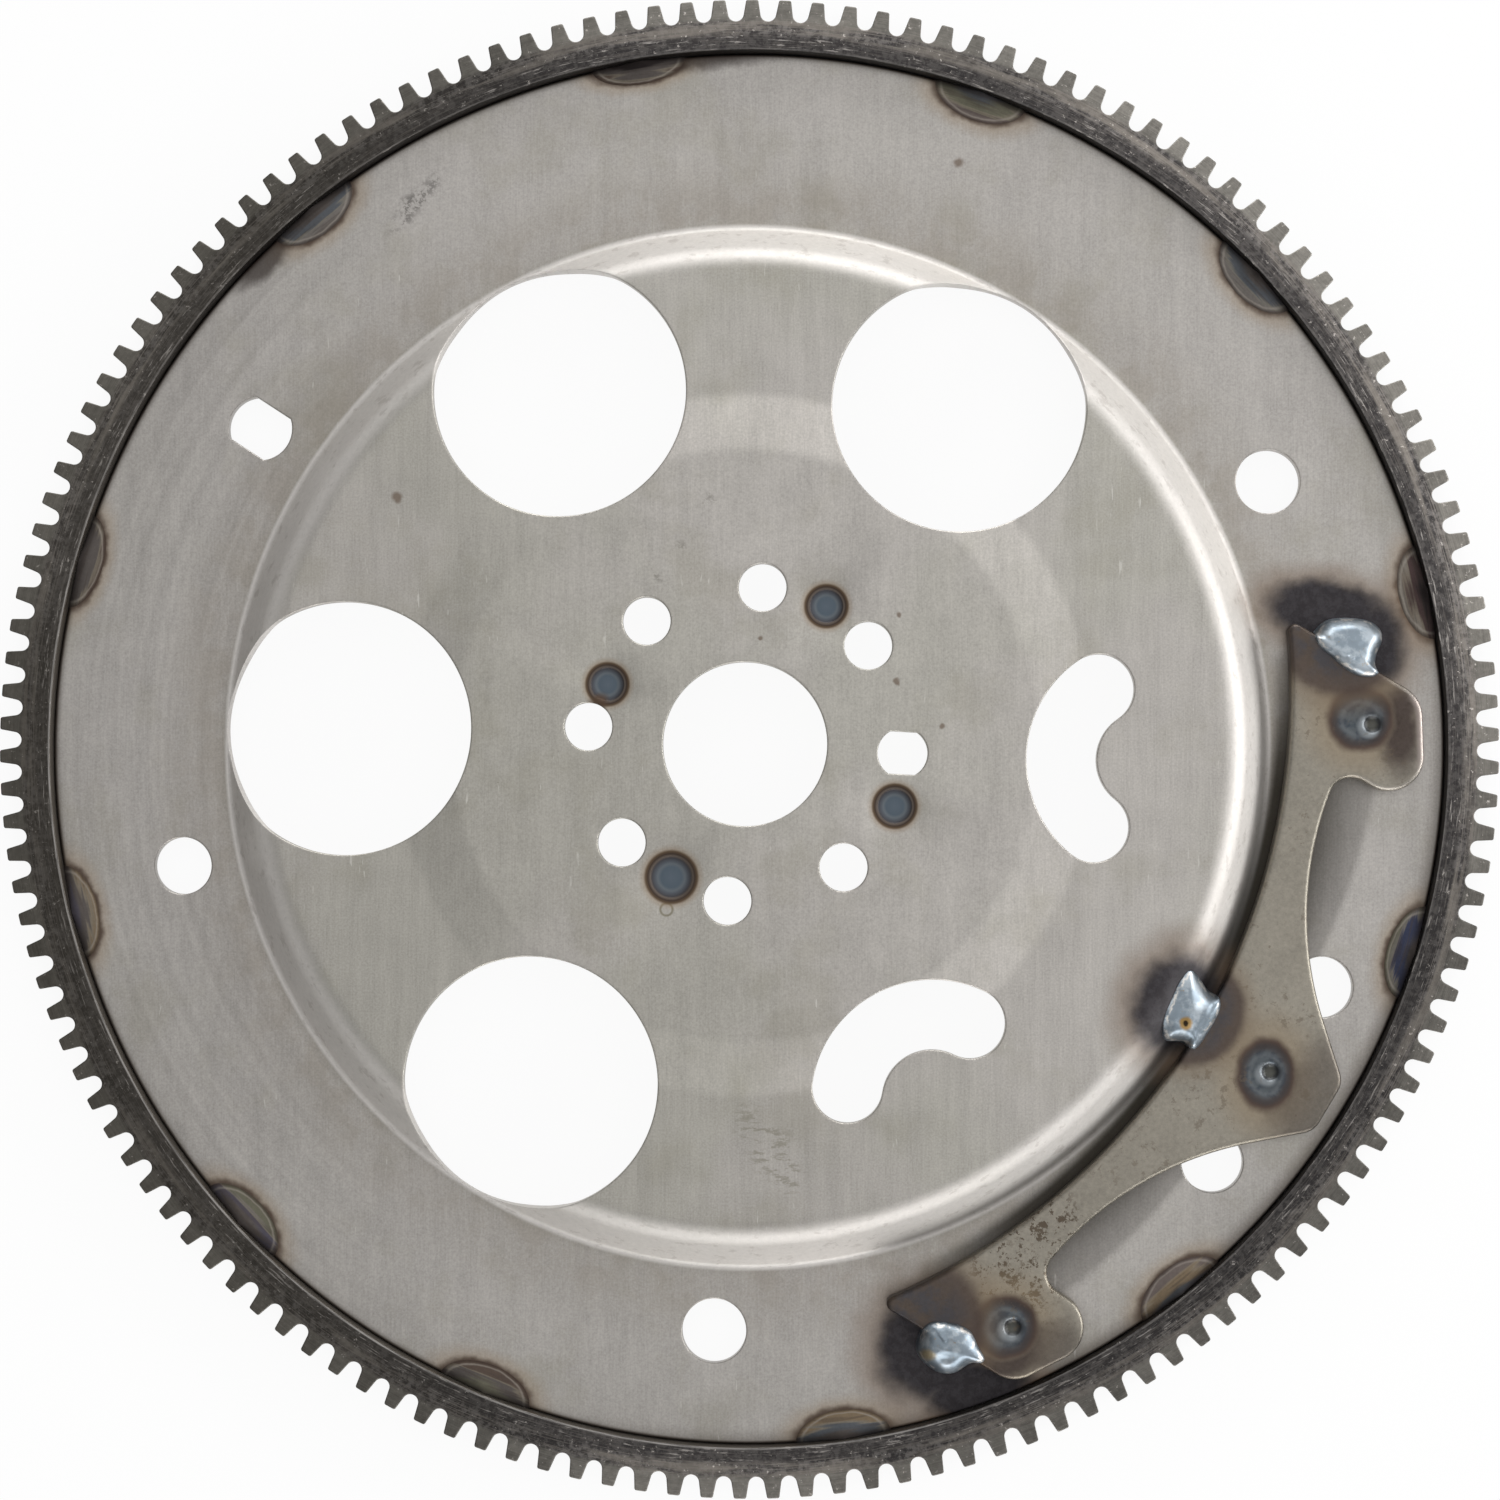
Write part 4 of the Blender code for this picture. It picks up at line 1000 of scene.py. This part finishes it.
def hubPlateFinish():
    f = Finish("hub plate steel")
    speck = f.grain(1.2, 5, 0.7)
    brushing = f.grain(1, 4, 0.6, (0.12, 5, 1))
    f.colour = f.lit((156, 152, 144), 0.68 + 0.34 * speck + 0.26 * brushing)
    spot = spotField(f, 1.6)
    f.coat(spot.fade(0.9, 1.7) * 0.7, (120, 98, 74))
    f.coat(spot.fade(0.7, 1.05) * 0.8, (78, 82, 88))
    return f.wear(0.36 + 0.2 * speck, brushing * 0.5 + speck * 0.5, 0.3, 0.08)


def weldMetalFinish():
    f = Finish("weld metal")
    crust = f.grain(0.9, 5, 0.7)
    slag = f.grain(0.28, 4, 0.6)
    torn = f.wobbled(0.6, 0.8)
    fromEdge = f.stored("fromEdge")
    patches = f.grain(0.4, 3).fade(0.55, 0.45)
    f.colour = f.mix(slag.fade(0.6, 0.42), (132, 143, 152), (166, 175, 182))
    ragged = fromEdge + (crust - 0.5) * 2.2
    f.coat(ragged.band(0.6, 0.45) * patches * 0.8, (226, 221, 214))
    f.coat(fromEdge.fade(0.2, 0.9) * (1 - patches) * 0.6, (104, 112, 120))
    f.coat(crust.fade(0.68, 0.62) * 0.6, (160, 134, 92))
    pore = f.blob(*beadMarks["pore"], torn)
    f.coat(pore.fade(0.7, 1.3) * 0.9, (150, 118, 60))
    f.coat(pore.fade(0.3, 0.6), (44, 36, 28))
    f.coat(f.blob(*beadMarks["straw"], torn).fade(0.4, 1.3) * 0.6, (176, 152, 98))
    return f.wear(0.38 + 0.16 * crust, crust * 0.6 + slag * 0.6, 0.35, 0.2)


def burntWeldFinish():
    f = Finish("burnt weld metal")
    across = f.fromAxis()
    field = weldField(f, f.wobbled(0.3, 0.6))
    streak = f.hoops(across, 3, 0.6, 0.6, 3.5)
    second = f.hoops(across, 2, 0.5, 1.1, 9)
    speck = f.grain(1.5, 4, 0.7)
    depth = field * 0.55 + (disc["radius"] - across) * 0.075 + (streak - 0.5) * 0.9  # 0 by the ring, 1 at the border
    byRing, inMiddle, byBorder = (f.stored(name, "Color") for name in temperPlaces)
    f.colour = f.mix(depth.fade(0.22, 0.42), inMiddle, byRing)
    f.coat(depth.fade(0.74, 0.54), byBorder)
    f.coat(second.fade(0.62, 0.5) * 0.4, (70, 62, 58))
    f.coat(depth.band(0.62, 0.1) * 0.35, (140, 132, 116))
    f.coat(field.band(0.88, 0.05) * (0.15 + 0.6 * streak), (150, 143, 134))
    f.coat(field.fade(0.98, 0.90) * 0.7, (64, 54, 48))
    # painted shadow: darker along the ring, where its wall shades the welds
    f.coat(across.fade(141.8, 139.4) * 0.8, (34, 30, 29))
    f.shade(0.7 + 0.5 * speck)
    return f.wear(0.3 + 0.2 * speck, speck, 0.2, 0.1)


print("finishes")
pressedSteel = pressedSteelFinish()
ringSteel = ringSteelFinish()
weightSteel = weightSteelFinish()
hubPlateSteel = hubPlateFinish()
weldMetal = weldMetalFinish()
burntWeld = burntWeldFinish()

fit(pressedDisc(), pressedSteel, "pressed_steel", "flexplate_disc")
fit(hubPlate(), hubPlateSteel, "plate_steel", "hub_plate")
fit(toothedRing(ringSteel), ringSteel, "hardened_steel", "ring_gear")
fit(balanceWeight(), weightSteel, "plate_steel", "counterweight")
for which in beads:
    fit(weightBead(which), weldMetal, "weld_metal", f"weight_weld_{which}")
for number, place in enumerate(rimWelds["places"], start=1):
    fit(rimWeld(number, *place), burntWeld, "burnt_weld_metal", f"rim_weld_{number:02d}")


# Studio

studio = dict(
    cameraPlace=(15.738, -18.491, 720.0), cameraTurn=(1.412, 1.203, 0.0), focal=3505.1, pixels=1500, sensor=36.0,
    floorSize=6.0, floorGlow=0.93, world=0.35, ceilingTurn=42 * deg,
    paper=(0.85, 0.85, 0.85, 1), otherRays=0.5,  # share of the glow for rays that aren't seen
    lamps=(  # name, place, width, depth, radiance
        ("ceilingRight", (0.68, 0.0, 1.6), 1.7, 2.2, 0.82),
        ("ceilingLeft", (-0.62, 0.0, 1.6), 0.9, 2.2, 0.46),
        ("rightBox", (1.25, 0.1, 0.3), 1.2, 0.5, 7.2),
        ("topBox", (0.15, 1.25, 0.3), 1.2, 0.5, 7.0),
        ("bottomBox", (0.2, -1.25, 0.3), 1.2, 0.5, 5.6),
    ),
)


def studioFloor():
    bpy.ops.mesh.primitive_plane_add(size=studio["floorSize"])
    floor = bpy.context.object
    floor.name = "studioFloor"
    paint = bpy.data.materials.new("floor paper")
    paint.use_nodes = True
    tree = paint.node_tree
    tree.nodes.clear()
    rays = addNode(tree, "ShaderNodeLightPath", {}, {}).outputs
    seen = studio["otherRays"]
    for ray in ("Is Camera Ray", "Is Glossy Ray", "Is Transmission Ray"):
        seen = addNode(tree, "ShaderNodeMath", {"operation": "MAXIMUM"}, {0: rays[ray], 1: seen}).outputs[0]
    share = addNode(tree, "ShaderNodeMath", {"operation": "MULTIPLY"}, {0: seen, 1: studio["floorGlow"]})
    paper = addNode(tree, "ShaderNodeBsdfDiffuse", {}, {"Color": studio["paper"]})
    glow = addNode(tree, "ShaderNodeEmission", {}, {})
    both = addNode(tree, "ShaderNodeMixShader", {}, {i: n.outputs[0] for i, n in enumerate((share, paper, glow))})
    addNode(tree, "ShaderNodeOutputMaterial", {}, {0: both.outputs[0]})
    floor.data.materials.append(paint)


def studioWorld():
    world = bpy.data.worlds.new("studio")
    bpy.context.scene.world = world
    world.use_nodes = True
    tree = world.node_tree
    tree.nodes.clear()
    seen = addNode(tree, "ShaderNodeLightPath", {}, {}).outputs["Is Camera Ray"]
    room, white = (addNode(tree, "ShaderNodeBackground", {}, {"Color": (1, 1, 1, 1), "Strength": strength}).outputs[0]
                   for strength in (studio["world"], 1.0))
    both = addNode(tree, "ShaderNodeMixShader", {}, {0: seen, 1: room, 2: white}).outputs[0]
    addNode(tree, "ShaderNodeOutputWorld", {}, {0: both})


def studioLamps():
    for name, place, width, depth, radiance in studio["lamps"]:
        light = bpy.data.lights.new(name, "AREA")
        light.shape = "RECTANGLE"
        light.size, light.size_y = width, depth
        light.energy = radiance * math.pi * width * depth
        lamp = bpy.data.objects.new(name, light)
        if name.startswith("ceiling"):  # the ceiling boxes hang level, the low ones face the object
            turn = studio["ceilingTurn"]
            lamp.location = Matrix.Rotation(turn, 3, "Z") @ Vector(place)
            lamp.rotation_euler = (0, 0, turn)
        else:
            lamp.location = place
            lamp.rotation_euler = (-Vector(place)).to_track_quat("-Z", "Y").to_euler()
        lamp.visible_camera = False
        bpy.context.scene.collection.objects.link(lamp)


def studioCamera():
    s = studio
    eye = bpy.data.cameras.new("camera")
    eye.sensor_width = s["sensor"]
    eye.lens = s["focal"] / s["pixels"] * s["sensor"]
    camera = bpy.data.objects.new("camera", eye)
    camera.location = Vector(s["cameraPlace"]) * mm
    camera.rotation_euler = [a * deg for a in s["cameraTurn"]]
    bpy.context.scene.collection.objects.link(camera)
    bpy.context.scene.camera = camera


studioFloor()
studioWorld()
studioLamps()
studioCamera()
bpy.context.scene.view_settings.view_transform = "Standard"
print("studio")
